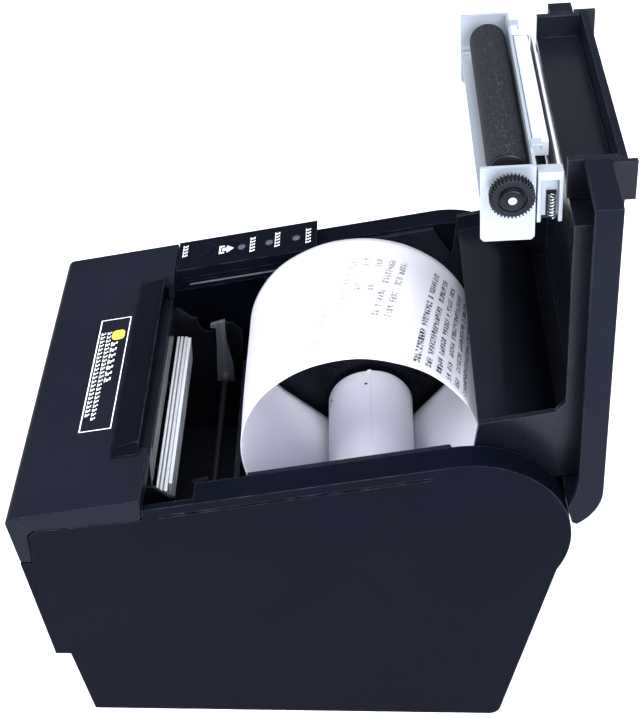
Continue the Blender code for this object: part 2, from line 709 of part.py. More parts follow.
def make_cutter():
    housing = box("cutter_housing", (-46, -80, 92), (46, -52.4, 99.9), INNER_PLASTIC)
    join(housing, box("cutter_roof", (-46, -63.4, 99), (46, -52.4, 105.3)))
    slot = box("blade_slot", (-38, -61.8, BLADE_Z - 1.0), (38, -50, BLADE_Z + 1.0))
    bay = box("gear_bay", (-15, -79, 95), (15, -70, 110))
    cut(housing, slot, bay)
    pivot = add_pivot("blade_slide", -61, BLADE_Z)
    edge = [(-36, 0), (-36, 7), (0, 8.2), (36, 7), (36, 0)]
    blade = filled_mesh("moving_blade", [edge], 0.8)
    add_object("moving_blade", blade, STEEL, pivot)
    gear_pivot = add_pivot("cutter_gear_spin", -74.5, 97.2)
    wheel = filled_mesh("cutter_gear", [gear_outline(CUTTER_TEETH, 0)], 2.4)
    gear = add_object("cutter_gear", wheel, GEAR_PLASTIC, gear_pivot)
    cut(gear, cylinder("cutter_gear_bore", 1.4, (0, 0, -3), (0, 0, 3), parent=gear_pivot, sides=16))
    join(housing, cylinder("cutter_gear_stud", 1.2, (0, -74.5, 94), (0, -74.5, 99.2), sides=16))
    cylinder("cutter_motor", 6.4, (-30, -81.0, 85), (-6, -81.0, 85), STEEL)


def make_electronics():
    box("main_board", (-62, -70, 9.2), (62, 58, 10.8), BOARD)
    rear, z0 = 71.0, 11.1
    power = box("power_socket", (-42, 57, z0), (-30, rear, z0 + 11), INNER_PLASTIC)
    middle_z = z0 + 5.5
    cut(power, cylinder("power_mouth", 4.2, (-36, 62, middle_z), (-36, rear + 5, middle_z)))
    usb = box("usb_socket", (-24, 57, z0), (-12, rear, z0 + 11), STEEL)
    cut(usb, box("usb_mouth", (-21.8, 64, z0 + 2), (-14.2, rear + 5, z0 + 9)))
    lan = box("network_socket", (-5, 57, z0), (11, rear, z0 + 13), STEEL)
    cut(lan, box("network_mouth", (-2.4, 62, z0 + 2.5), (8.4, rear + 5, z0 + 10.5)))
    drawer = box("drawer_socket", (18, 57, z0), (31, rear, z0 + 13), INNER_PLASTIC)
    cut(drawer, box("drawer_mouth", (19.8, 62, z0 + 2.5), (29.2, rear + 5, z0 + 10.5)))


def make_power_switch():
    """A rocker in the rear wall, with its frame behind it."""
    y, z = 76.5, 20.0
    pivot = add_pivot("power_switch_pivot", y, z, 54)
    outline = [(-3.4, -6.2), (1.6, -6.2), (0.9, 0), (3.0, 6.2), (-3.4, 6.2)]
    prism("power_switch", outline, -4.4, 4.4, GEAR_PLASTIC, pivot)
    box("switch_frame", (49.1, 62, 13.1), (58.9, 71.0, 26.9), INNER_PLASTIC)


def make_hinge_pins():
    for side, name in ((1, "right"), (-1, "left")):
        cylinder(
            f"hinge_pin_{name}",
            2.4,
            (side * 57.0, HINGE_Y, HINGE_Z),
            (side * 69.7, HINGE_Y, HINGE_Z),
            STEEL,
            sides=24,
        )


def ear_reach(turn):
    """How far the ear's surface is from the hinge axis, in a direction in degrees from +Y towards +Z."""
    dy, dz = HINGE_Y - EAR_Y, HINGE_Z - EAR_Z
    along = dy * cos(radians(turn)) + dz * sin(radians(turn))
    return sqrt(along**2 + EAR_R**2 - dy**2 - dz**2) - along


def lid_underside():
    """The lid's edge by the hinge: it clears the ear both open and closed."""
    clearance = 0.55
    points = []
    for turn in (30, 22, 14, 6, 0, -6, -12, -18):
        reach = max(ear_reach(LID_LEAN + turn), ear_reach(LID_LEAN + LID_OPENING + turn)) + clearance
        points.append((reach * cos(radians(turn)), reach * sin(radians(turn))))
    return [point for point in points if point[0] < LID_UNDER_U]


def make_lid_cover(lid):
    round_r, round_v = 18.0, 7.0
    reach = LID_UNDER_U - LID_TOP_U + round_r
    corner = degrees(atan2(sqrt(round_r**2 - reach**2), reach))
    heel = arc(LID_TOP_U - round_r, round_v, round_r, -corner, 0, 8)
    side = [*heel, (LID_TOP_U, LID_FRONT_V), (LID_UNDER_U, LID_FRONT_V), *lid_underside()]
    cover = prism("lid_cover", side, -HALF_X, HALF_X, PLASTIC, lid)
    sunk = LID_TOP_U - 1
    hump = [(sunk, 14), (LID_TOP_U, 16), (HUMP_U, 98), (HUMP_U, LID_FRONT_V), (sunk, LID_FRONT_V)]
    join(cover, prism("lid_hump", hump, -HUMP_HALF_X, HUMP_HALF_X, parent=lid))
    notch = box("lid_notch", (-90, 10, LID_NOTCH_V), (LID_NOTCH_X, 50, 140), parent=lid)
    inner_x, front, notch_x = HALF_X - WALL, LID_FRONT_V - WALL, LID_NOTCH_X + WALL
    notch_v = LID_NOTCH_V - WALL
    tray = [
        (-inner_x, 1),
        (inner_x, 1),
        (inner_x, front),
        (notch_x, front),
        (notch_x, notch_v),
        (-inner_x, notch_v),
    ]
    room = slab("lid_room", tray, 5, LID_TOP_U - WALL, parent=lid)
    inside = HUMP_HALF_X - WALL
    low, high = LID_TOP_U - 2 * WALL, HUMP_U - WALL
    hollow = [(low, 30), (LID_TOP_U - WALL, 24), (high, 98), (high, 130), (low, 130)]
    crown = prism("hump_room", hollow, -inside, inside, parent=lid)
    mouth = box(
        "lid_mouth",
        (-HUMP_HALF_X - GAP, 10, 103.2),
        (HUMP_HALF_X + GAP, HUMP_U - WALL, 140),
        parent=lid,
    )
    cut(cover, notch, room, crown, mouth)
    return bevel(cover, 0.8, 2, 50)


def make_lid_bezel(lid):
    """The lid's black front: a recessed end wall between two cheeks that stand proud of the hump."""
    low, high = 18.6, HUMP_U - WALL - GAP
    half = HUMP_HALF_X - 1
    front = LID_FRONT_V - GAP
    wall = box("lid_bezel", (-half, low, 107.4), (half, high, 109.4), INNER_PLASTIC, lid)
    pieces = (
        ("cheek", HUMP_HALF_X - 2.4, HUMP_HALF_X, low, high),
        ("bridge", HUMP_HALF_X - 1.5, HUMP_HALF_X + 2.2, LID_TOP_U + GAP, high),
        ("ear", HUMP_HALF_X + GAP, HUMP_HALF_X + 2.2, LID_TOP_U + GAP, CHEEK_U),
    )
    for side in (-1, 1):
        for name, inner, outer, bottom, top in pieces:
            x0, x1 = sorted((side * inner, side * outer))
            join(wall, box(f"bezel_{name}_{side}", (x0, bottom, 103.9), (x1, top, front), parent=lid))
    return bevel(wall, 0.5, 2, 50)


def arm_outline():
    """Side view of the liner's wall, from the front edge down to the hinge arm."""
    edge = 19.4
    return [
        (28.2, 103.4),
        (28.2, 3.6),
        (19.0, 2.4),
        *arc(0, 0, 9.5, -10, -120, 8),
        (-11.5, 6),
        (-8.5, 27),
        (edge - 3, 31),
        (edge, 35),
        (edge, 103.5),
    ][::-1]


def make_lid_liner(lid):
    """The lid's inner tray, with the barrel that covers the hinge line and an arm at each end."""
    edge = 19.4
    inner = arc(0, 0, 20, 13, 112, 12)
    outer = arc(0, 0, 21.8, 112, 18, 12)
    section = [(28.3, 102), (28.3, 4.8), (20.4, 4.4), *inner, *outer, (26.5, 6.8), (26.5, 102)]
    liner = prism("lid_liner", section[::-1], -59.5, 59.5, INNER_PLASTIC, lid)
    for side in (-1, 1):
        x0, x1 = sorted((side * 59, side * 61))
        join(liner, prism(f"liner_side_{side}", arm_outline(), x0, x1, parent=lid))
    front = box("liner_front", (-60.9, edge, 101.7), (60.9, 28.25, 103.5), parent=lid)
    cross = box("liner_cross", (-60, edge, 55.7), (-50.4, 28.1, 57.9), parent=lid)
    inner_wall = box("liner_notch_wall", (-52.2, edge, 55.9), (-49.2, 28.0, 103), parent=lid)
    join(liner, front, cross, inner_wall)
    notch = box("liner_notch", (-90, 0, 57.6), (-51.2, 60, 140), parent=lid)
    cut(liner, notch)
    for side in (-1, 1):
        ends = (side * 50, 0, 0), (side * 70, 0, 0)
        cut(liner, cylinder(f"arm_bore_{side}", 2.55, *ends, parent=lid, sides=24))
    return liner


def make_platen_bracket(lid):
    """Folded bright sheet: two cheeks, a web behind the roller and a guide beneath it."""
    outline = [
        (-7.2, 117.4),
        (-7.2, 92.5),
        (-6.2, 91.4),
        (8.2, 91.4),
        (9.2, 92.5),
        (9.2, 117.4),
    ]
    bracket = prism("platen_bracket", outline, -49.4, 49.4, ZINC, lid)
    web_u = 8.2
    for name, low, high in (("over_guide", 104.2, 140), ("under_guide", 60, 103.4)):
        outline = [(-20, low), (web_u, low), (web_u, high), (-20, high)]
        cut(bracket, prism(name, outline, -48.2, 48.2, parent=lid))
    for side in (-1, 1):
        x0, x1 = sorted((side * 43, side * 47))
        cut(bracket, box(f"hook_slot_{side}", (x0, -20, 100), (x1, 8.0, 108), parent=lid))
    bore = cylinder("bracket_bore", 3.0, (-60, PLATEN_U, PLATEN_V), (60, PLATEN_U, PLATEN_V), parent=lid)
    cut(bracket, bore)
    return bracket


def make_fixed_blade(lid):
    box("fixed_blade", (-34, 9.6, 111.2), (34, 14.4, 116.4), STEEL, lid)
    channel = box("blade_channel", (-45, 9.6, 96), (45, 15.9, 110.9), ZINC, lid)
    cut(channel, box("channel_room", (-43, 10.8, 97.4), (43, 17, 112), parent=lid))
    box("blade_guard", (-43, 16.3, 96), (43, 17.2, 112.4), ZINC, lid)
    hanger = box("bracket_hanger", (45.4, 9.6, 98), (50.2, 17.2, 115.4), ZINC, lid)
    cut(hanger, box("hanger_room", (46.4, 10.8, 92), (60, 16, 112.6), parent=lid))


def make_platen(lid):
    spin = add_pivot("platen_spin", PLATEN_U, PLATEN_V)
    spin.parent = lid
    cylinder("platen_shaft", 2.0, (-51.4, 0, 0), (57.6, 0, 0), STEEL, spin, sides=24)
    ends = (-PLATEN_HALF_X, 0, 0), (PLATEN_HALF_X, 0, 0)
    roller = cylinder("platen_roller", PLATEN_R, *ends, RUBBER, spin, sides=40)
    cut(roller, cylinder("roller_bore", 2.02, (-60, 0, 0), (60, 0, 0), parent=spin, sides=24))
    make_gear("platen_gear", PLATEN_TEETH, 0, spin, 2.02)
    for side, name in ((1, "right"), (-1, "left")):
        start, end = (side * 47.2, side * 51.9)
        bush = cylinder(
            f"platen_bush_{name}",
            2.9,
            (start, PLATEN_U, PLATEN_V),
            (end, PLATEN_U, PLATEN_V),
            GEAR_PLASTIC,
            lid,
            sides=24,
        )
        bore = cylinder(
            f"bush_bore_{name}",
            2.1,
            (side * 40, PLATEN_U, PLATEN_V),
            (side * 60, PLATEN_U, PLATEN_V),
            parent=lid,
            sides=24,
        )
        cut(bush, bore)


def make_lid():
    lid = add_pivot("lid_hinge", HINGE_Y, HINGE_Z, turn=(radians(LID_LEAN), 0, 0))
    make_lid_cover(lid)
    make_lid_bezel(lid)
    make_lid_liner(lid)
    make_platen_bracket(lid)
    make_fixed_blade(lid)
    make_platen(lid)


def make_printer():
    make_case()
    make_base()
    make_front_cover()
    make_exit_lip()
    make_control_panel()
    make_low_paper_lever(make_paper_bin())
    make_paper()
    make_mechanism_frame(*make_gear_train())
    make_print_head()
    make_platen_hook()
    make_cutter()
    make_electronics()
    make_power_switch()
    make_hinge_pins()
    make_lid()
    centre()


def centre():
    """Moves everything so that the origin is under the middle of the bounding box."""
    for obj in [*PARTS.objects, *CUTTERS.objects]:
        if obj.parent is None:
            obj.location.y += mm(CENTRE_SHIFT_Y)


make_printer()
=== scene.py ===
"""Looks of the receipt printer: materials, paper, marks, sheet-metal detail, light and camera.

Metres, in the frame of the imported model: +X is the user's right, -Y the front, +Z up.
"""

import json
from math import atan2, cos, hypot, pi, radians, sin, sqrt, tan

import bmesh
import bpy
from mathutils import Matrix, Vector, noise


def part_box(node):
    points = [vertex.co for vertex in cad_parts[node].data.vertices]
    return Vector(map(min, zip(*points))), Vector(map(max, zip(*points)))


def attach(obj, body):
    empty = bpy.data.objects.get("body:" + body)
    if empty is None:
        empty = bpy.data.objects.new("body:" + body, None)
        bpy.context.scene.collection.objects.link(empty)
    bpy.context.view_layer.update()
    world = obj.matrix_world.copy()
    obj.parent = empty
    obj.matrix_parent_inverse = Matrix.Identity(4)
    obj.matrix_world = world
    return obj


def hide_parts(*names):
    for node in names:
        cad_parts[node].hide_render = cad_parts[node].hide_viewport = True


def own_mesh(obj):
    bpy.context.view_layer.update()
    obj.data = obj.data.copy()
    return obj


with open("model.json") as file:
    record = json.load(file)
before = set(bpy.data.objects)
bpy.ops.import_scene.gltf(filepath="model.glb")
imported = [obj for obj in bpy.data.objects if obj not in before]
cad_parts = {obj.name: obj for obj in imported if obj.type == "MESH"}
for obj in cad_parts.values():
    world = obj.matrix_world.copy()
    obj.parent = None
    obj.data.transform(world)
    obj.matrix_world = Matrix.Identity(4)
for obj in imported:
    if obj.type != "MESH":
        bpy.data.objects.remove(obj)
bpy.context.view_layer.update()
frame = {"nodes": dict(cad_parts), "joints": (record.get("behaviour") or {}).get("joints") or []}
SCENE = bpy.context.scene
JOINTS = {joint["name"]: joint for joint in frame["joints"]}
MM = 0.001

HINGE = Vector(JOINTS["lid_hinge"]["pos_m"])
LID_LEAN = radians(4.2)
LID = Matrix.Translation(HINGE) @ Matrix.Rotation(LID_LEAN, 4, "X")
ROLL = Vector(JOINTS["paper_roll_spin"]["pos_m"])
TOP_LEAN = radians(12)
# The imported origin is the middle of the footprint, this far behind the CAD script's own.
PACK_SHIFT_Y = -1.01
TOP_FRONT_Y, TOP_FRONT_Z = (-98.7 + PACK_SHIFT_Y) * MM, 102.9 * MM

# The paper loop's large arc at its near end, and how it differs at the far end, in millimetres.
LOOP_Y, LOOP_Z, LOOP_R = 20.3, 104.6, 42.3
LOOP_FAR_Y, LOOP_FAR_Z, LOOP_FAR_R = 1.2, -9.0, 2.2
LOOP_FOOT_R, LOOP_SHEET, LOOP_WAVE = 18.4, 0.16, 0.35
# The roll: its radius at the far end, what it loses towards the near end, its bore and one layer.
ROLL_R, ROLL_TAPER, ROLL_BORE, ROLL_LAYER = 17.25, 0.9, 6.75, 0.22
ROLL_SEAM, NEARLY_A_TURN = radians(92), 0.9985

# Rows and marks printed on the loop, in metres.
FIRST_ROW, ROW_PITCH, MARK_PITCH = 0.0405, 0.0046, 0.00205
# First and last row, start and stop in millimetres from the near edge, and how dark.
PRINTED_SPANS = (
    (0, 6, 4, 69, 1.0),
    (8, 10, 27, 44, 0.7),
    (8, 10, 49, 66, 0.7),
    (10, 12, 43, 48, 0.6),
    (10, 12, 60, 66, 0.6),
    (12, 13, 31, 63, 0.45),
    (13, 14, 8, 36, 0.45),
    (15, 16, 27, 52, 0.3),
)

# The cover label's frame, in millimetres on the top plane, and its rows: start, stop, y and mark size.
LABEL_FRAME, LABEL_LINE = (-29.0, -79.6, 35.1, -67.8), 0.35
LABEL_ROWS = ((-14.5, 10.5, -73.9, 2.4), (-21.0, 31.0, -76.1, 1.6), (-21.0, 29.0, -78.5, 1.6))
# Groups of marks on the control panel: middle x, middle y and how many marks.
PANEL_GROUPS = ((-66.9, -50.1, 4), (-64.1, -22.6, 5), (-64.7, -12.6, 5), (-63.9, -0.2, 5))
PANEL_PITCH = 2.08

# A socket's sprung contact seen from the side, as (y, z), and the spacing of a row of them.
CONTACT_BEND = ((59.0, 21.9), (62.0, 21.6), (66.4, 19.4), (66.8, 20.3))
CONTACT_PITCH = 1.02

CAMERA_PLACE = (0.4112, 0.0106, 0.4553)
CAMERA_YAW, CAMERA_PITCH, CAMERA_ROLL = radians(-0.72), radians(39.75), radians(0.23)
CAMERA_LENS = 72.5


# ---------------------------------------------------------------- materials


def link(tree, source, target):
    tree.links.new(source, target)


def maths(tree, operation, a, b=None, c=None, clamp=False):
    node = tree.nodes.new("ShaderNodeMath")
    node.operation = operation
    node.use_clamp = clamp
    for socket, value in zip(node.inputs, (a, b, c)):
        if value is None:
            continue
        if isinstance(value, (int, float)):
            socket.default_value = value
        else:
            link(tree, value, socket)
    return node.outputs[0]


def coords(tree, stretch=(1, 1, 1)):
    place = tree.nodes.new("ShaderNodeTexCoord")
    mapping = tree.nodes.new("ShaderNodeMapping")
    mapping.inputs["Scale"].default_value = stretch
    link(tree, place.outputs["Object"], mapping.inputs["Vector"])
    return mapping.outputs[0]


def grain(tree, scale, detail=2.0, rough=0.55, stretch=(1, 1, 1)):
    node = tree.nodes.new("ShaderNodeTexNoise")
    node.inputs["Scale"].default_value = scale
    node.inputs["Detail"].default_value = detail
    node.inputs["Roughness"].default_value = rough
    link(tree, coords(tree, stretch), node.inputs["Vector"])
    return node.outputs["Fac"]


def cells(tree, scale, stretch=(1, 1, 1)):
    node = tree.nodes.new("ShaderNodeTexVoronoi")
    node.inputs["Scale"].default_value = scale
    link(tree, coords(tree, stretch), node.inputs["Vector"])
    return node


def between(tree, factor, low, high, from_low=0.0, from_high=1.0):
    node = tree.nodes.new("ShaderNodeMapRange")
    limits = {"From Min": from_low, "From Max": from_high, "To Min": low, "To Max": high}
    for name, value in limits.items():
        node.inputs[name].default_value = value
    link(tree, factor, node.inputs["Value"])
    return node.outputs[0]


def mix(tree, factor, first, second):
    node = tree.nodes.new("ShaderNodeMix")
    node.data_type = "RGBA"
    for index, value in ((0, factor), (6, first), (7, second)):
        if isinstance(value, (int, float)):
            node.inputs[index].default_value = value
        elif isinstance(value, tuple):
            node.inputs[index].default_value = (*value, 1)
        else:
            link(tree, value, node.inputs[index])
    return node.outputs[2]


def bump(tree, height, distance, strength=1.0, before=None):
    node = tree.nodes.new("ShaderNodeBump")
    node.inputs["Strength"].default_value = strength
    node.inputs["Distance"].default_value = distance
    link(tree, height, node.inputs["Height"])
    if before is not None:
        link(tree, before, node.inputs["Normal"])
    return node.outputs[0]


def edges(tree, radius):
    """1 on a sharp edge, 0 on a flat or gently curved face."""
    rounded = tree.nodes.new("ShaderNodeBevel")
    rounded.samples = 4
    rounded.inputs["Radius"].default_value = radius
    plain = tree.nodes.new("ShaderNodeNewGeometry")
    dot = tree.nodes.new("ShaderNodeVectorMath")
    dot.operation = "DOT_PRODUCT"
    link(tree, rounded.outputs[0], dot.inputs[0])
    link(tree, plain.outputs["Normal"], dot.inputs[1])
    return between(tree, dot.outputs["Value"], 1.0, 0.0, 0.72, 0.96)


def new_material(name, metallic=0.0, specular=0.5, coat=0.0):
    made = bpy.data.materials.new(name)
    made.use_nodes = True
    shader = made.node_tree.nodes["Principled BSDF"]
    shader.inputs["Metallic"].default_value = metallic
    shader.inputs["Specular IOR Level"].default_value = specular
    shader.inputs["Coat Weight"].default_value = coat
    shader.inputs["Coat Roughness"].default_value = 0.1
    return made, made.node_tree, shader.inputs


def plastic(name, dark, light, rough, fine, depth, specular=0.04, edge_wear_and_highlight=(0.10, 0.11, 0.135)):
    """Moulded plastic: a fine spark-eroded grain, faint clouding, and handled edges that take wear and a
    painted highlight.
    """
    made, tree, into = new_material(name, specular=specular)
    # The bluish specular tint paints the colour of a bluish light into the plastic's reflections.
    into["Specular Tint"].default_value = (0.72, 0.82, 1.0, 1.0)
    cloud = grain(tree, 24, 4, 0.6)
    speck = grain(tree, fine, 2, 0.6)
    body = mix(tree, between(tree, cloud, 0, 1, 0.32, 0.68), dark, light)
    # Sharp edges take a lighter colour in patches: partly wear, partly a painted highlight along the edge.
    mark = edges(tree, 0.0005)
    patch = between(tree, grain(tree, 190, 3), 0.08, 0.6, 0.4, 0.75)
    edge_wear_and_highlight_share = maths(tree, "MULTIPLY", mark, patch, clamp=True)
    link(tree, mix(tree, edge_wear_and_highlight_share, body, edge_wear_and_highlight), into["Base Color"])
    patches = between(tree, cloud, -0.07, 0.07, 0.3, 0.7)
    spread = maths(tree, "ADD", patches, between(tree, speck, -0.06, 0.06))
    link(tree, maths(tree, "ADD", spread, rough, clamp=True), into["Roughness"])
    hairs = grain(tree, 900, 2, 0.5, (0.06, 1, 1))
    soft = bump(tree, speck, depth, 0.8)
    link(tree, bump(tree, hairs, depth * 0.3, 0.25, soft), into["Normal"])
    return made


def metal(name, colour, rough, along=(1, 1, 1), tint=(0.55, 0.56, 0.6), spots=0.15, metallic=1.0):
    """Rolled or ground metal: long fine lines and dull patches."""
    made, tree, into = new_material(name, metallic=metallic)
    lines = grain(tree, 1600, 3, 0.6, along)
    cloud = grain(tree, 60, 4, 0.6)
    share = between(tree, cloud, 0, spots * 4, 0.45, 0.75)
    body = mix(tree, share, colour, tint)
    link(tree, mix(tree, between(tree, lines, 0, 0.16), body, tint), into["Base Color"])
    patches = between(tree, cloud, -0.08, 0.1, 0.3, 0.7)
    spread = maths(tree, "ADD", between(tree, lines, -0.05, 0.05), patches)
    link(tree, maths(tree, "ADD", spread, rough, clamp=True), into["Roughness"])
    link(tree, bump(tree, lines, 0.00001, 0.35), into["Normal"])
    return made


def latch_metal(name, start, stop):
    """A latch bar: a lighter plate at the far end, much darker along the rest."""
    made, tree, into = new_material(name, metallic=0.3, specular=0.2)
    split = tree.nodes.new("ShaderNodeSeparateXYZ")
    link(tree, coords(tree), split.inputs[0])
    lines = grain(tree, 900, 3, 0.6, (1, 1, 0.06))
    share = between(tree, split.outputs[0], 0, 1, start, stop)
    streaks = between(tree, lines, 0, 1, 0.3, 0.7)
    bright = mix(tree, streaks, (0.055, 0.06, 0.075), (0.10, 0.105, 0.125))
    black = mix(tree, streaks, (0.0022, 0.0024, 0.004), (0.005, 0.0055, 0.008))
    link(tree, mix(tree, share, bright, black), into["Base Color"])
    link(tree, between(tree, lines, 0.34, 0.5), into["Roughness"])
    link(tree, bump(tree, lines, 0.00001, 0.4), into["Normal"])
    return made


def rubber(name, dark, light, fine, speckle=0.25):
    """Ground rubber: speckled with paler dust."""
    made, tree, into = new_material(name, specular=0.12)
    speck = cells(tree, fine)
    dust = grain(tree, fine * 0.8, 3, 0.7)
    share = between(tree, dust, 0, 1, 0.5, 0.5 + speckle)
    link(tree, mix(tree, share, dark, light), into["Base Color"])
    link(tree, between(tree, dust, 0.62, 0.92), into["Roughness"])
    link(tree, bump(tree, speck.outputs["Distance"], 0.00005, 0.6), into["Normal"])
    return made


def let_light_through(tree, share, colour):
    """Thin paper glows where light falls on its other side."""
    glow = tree.nodes.new("ShaderNodeBsdfTranslucent")
    link(tree, colour, glow.inputs["Color"])
    both = tree.nodes.new("ShaderNodeMixShader")
    both.inputs[0].default_value = share
    link(tree, tree.nodes["Principled BSDF"].outputs[0], both.inputs[1])
    link(tree, glow.outputs[0], both.inputs[2])
    link(tree, both.outputs[0], tree.nodes["Material Output"].inputs["Surface"])


def near_point(tree, place, radius):
    """1 within a ragged spot round a place given in millimetres, 0 elsewhere."""
    gap = tree.nodes.new("ShaderNodeVectorMath")
    gap.operation = "DISTANCE"
    link(tree, coords(tree), gap.inputs[0])
    gap.inputs[1].default_value = tuple(value * MM for value in place)
    uneven = maths(tree, "MULTIPLY", grain(tree, 2200, 2), 0.0006)
    ragged = maths(tree, "ADD", gap.outputs["Value"], uneven)
    return maths(tree, "LESS_THAN", ragged, radius * MM)


def paper(name, base, shade, through=0.0, nick_shadows=()):
    made, tree, into = new_material(name, specular=0.3)
    fibre = grain(tree, 700, 4, 0.65, (0.5, 1, 1))
    cloud = grain(tree, 45, 3)
    body = mix(tree, between(tree, cloud, 0, 0.6, 0.35, 0.7), base, shade)
    # Each nick is a small near-black spot: painted shade in the dent.
    for place, radius in nick_shadows:
        body = mix(tree, near_point(tree, place, radius), body, (0.03, 0.03, 0.04))
    link(tree, body, into["Base Color"])
    if through:
        let_light_through(tree, through, body)
    link(tree, between(tree, fibre, 0.42, 0.62), into["Roughness"])
    link(tree, bump(tree, fibre, 0.00002, 0.4), into["Normal"])
    return made


def inside(tree, value, low, high):
    above = maths(tree, "GREATER_THAN", value, low)
    return maths(tree, "MULTIPLY", above, maths(tree, "LESS_THAN", value, high))


def white_noise(tree, a, b, seed):
    join = tree.nodes.new("ShaderNodeCombineXYZ")
    for socket, value in zip(join.inputs, (a, b, seed)):
        if isinstance(value, (int, float)):
            socket.default_value = value
        else:
            link(tree, value, socket)
    node = tree.nodes.new("ShaderNodeTexWhiteNoise")
    link(tree, join.outputs[0], node.inputs["Vector"])
    return node.outputs["Value"]


def printed_paper(name, base, shade):
    """Thermal paper with rows of small unreadable marks. UV is in metres: u across, v along the strip."""
    made, tree, into = new_material(name, specular=0.3)
    uv = tree.nodes.new("ShaderNodeUVMap")
    uv.uv_map = "strip"
    split = tree.nodes.new("ShaderNodeSeparateXYZ")
    link(tree, uv.outputs[0], split.inputs[0])
    across, along = split.outputs[0], split.outputs[1]
    rows = maths(tree, "DIVIDE", maths(tree, "SUBTRACT", along, FIRST_ROW), ROW_PITCH)
    letters = maths(tree, "DIVIDE", across, MARK_PITCH)
    row, in_row = maths(tree, "FLOOR", rows), maths(tree, "FRACT", rows)
    letter, in_letter = maths(tree, "FLOOR", letters), maths(tree, "FRACT", letters)
    stroke = maths(tree, "FLOOR", maths(tree, "MULTIPLY", in_letter, 4))
    bar = maths(tree, "FLOOR", maths(tree, "MULTIPLY", in_row, 8))
    cell_u = maths(tree, "ADD", maths(tree, "MULTIPLY", letter, 4), stroke)
    cell_v = maths(tree, "ADD", maths(tree, "MULTIPLY", row, 8), bar)
    ink = maths(tree, "GREATER_THAN", white_noise(tree, cell_u, cell_v, 1.0), 0.3)
    ink = maths(tree, "MULTIPLY", ink, maths(tree, "LESS_THAN", in_letter, 0.78))
    ink = maths(tree, "MULTIPLY", ink, inside(tree, in_row, 0.2, 0.74))
    space = maths(tree, "GREATER_THAN", white_noise(tree, letter, row, 5.0), 0.1)
    ink = maths(tree, "MULTIPLY", ink, space)
    reach = None
    for first, last, start, stop, strength in PRINTED_SPANS:
        wide = inside(tree, across, start * MM, stop * MM)
        part = maths(tree, "MULTIPLY", inside(tree, rows, first, last), wide)
        part = maths(tree, "MULTIPLY", part, strength)
        reach = part if reach is None else maths(tree, "ADD", reach, part, clamp=True)
    ink = maths(tree, "MULTIPLY", ink, reach)
    faded = between(tree, grain(tree, 260, 2), 0.75, 1.0, 0.3, 0.6)
    ink = maths(tree, "MULTIPLY", ink, faded)
    fibre = grain(tree, 700, 4, 0.65, (0.5, 1, 1))
    body = mix(tree, between(tree, grain(tree, 45, 3), 0, 0.6, 0.35, 0.7), base, shade)
    body = mix(tree, ink, body, (0.03, 0.03, 0.045))
    link(tree, body, into["Base Color"])
    let_light_through(tree, 0.45, body)
    link(tree, between(tree, fibre, 0.42, 0.62), into["Roughness"])
    link(tree, bump(tree, fibre, 0.00002, 0.4), into["Normal"])
    return made


def wound_ends(name, base, shade):
    """The flat end of a paper roll: rings of single layers."""
    made, tree, into = new_material(name, specular=0.3)
    place = tree.nodes.new("ShaderNodeTexCoord")
    split = tree.nodes.new("ShaderNodeSeparateXYZ")
    link(tree, place.outputs["Object"], split.inputs[0])
    dy = maths(tree, "SUBTRACT", split.outputs[1], ROLL.y)
    dz = maths(tree, "SUBTRACT", split.outputs[2], ROLL.z)
    square = maths(tree, "ADD", maths(tree, "POWER", dy, 2), maths(tree, "POWER", dz, 2))
    wobble = maths(tree, "MULTIPLY", grain(tree, 160, 3), 0.0004)
    radius = maths(tree, "ADD", maths(tree, "SQRT", square), wobble)
    rings = maths(tree, "SINE", maths(tree, "MULTIPLY", radius, 2 * pi / 0.00055))
    bands = maths(tree, "SINE", maths(tree, "MULTIPLY", radius, 2 * pi / 0.0017))
    dark = between(tree, bands, 0.4, 1, -1, 1)
    share = maths(tree, "MULTIPLY", between(tree, rings, 0, 0.6, -1, 1), dark)
    link(tree, mix(tree, share, base, shade), into["Base Color"])
    link(tree, between(tree, rings, 0.6, 0.8, -1, 1), into["Roughness"])
    link(tree, bump(tree, rings, 0.00003, 0.5), into["Normal"])
    return made


def board(name):
    made, tree, into = new_material(name, coat=0.3)
    tracks = cells(tree, 420, (1, 1, 0.001))
    near = maths(tree, "GREATER_THAN", tracks.outputs["Distance"], 0.45)
    body = mix(tree, near, (0.012, 0.11, 0.05), (0.02, 0.2, 0.09))
    pads = maths(tree, "LESS_THAN", cells(tree, 260, (1, 1, 0.001)).outputs["Distance"], 0.16)
    link(tree, mix(tree, pads, body, (0.7, 0.6, 0.35)), into["Base Color"])
    link(tree, between(tree, tracks.outputs["Distance"], 0.28, 0.5), into["Roughness"])
    link(tree, bump(tree, near, 0.00003, 0.6), into["Normal"])
    return made


def ink(name, colour):
    """Printed ink with a slightly uneven edge and film."""
    made, tree, into = new_material(name, specular=0.35)
    film = grain(tree, 2600, 3, 0.6)
    pale = tuple(value * 0.72 for value in colour)
    link(tree, mix(tree, between(tree, film, 0, 0.7, 0.4, 0.75), colour, pale), into["Base Color"])
    link(tree, between(tree, film, 0.4, 0.65), into["Roughness"])
    link(tree, bump(tree, film, 0.00001, 0.4), into["Normal"])
    return made


def lens(name, colour):
    made, tree, into = new_material(name, coat=0.5)
    into["Transmission Weight"].default_value = 0.25
    frost = grain(tree, 1800, 3)
    link(tree, mix(tree, between(tree, frost, 0, 0.5), colour, (0.09, 0.1, 0.12)), into["Base Color"])
    link(tree, between(tree, frost, 0.2, 0.4), into["Roughness"])
    link(tree, bump(tree, frost, 0.00001, 0.5), into["Normal"])
    return made
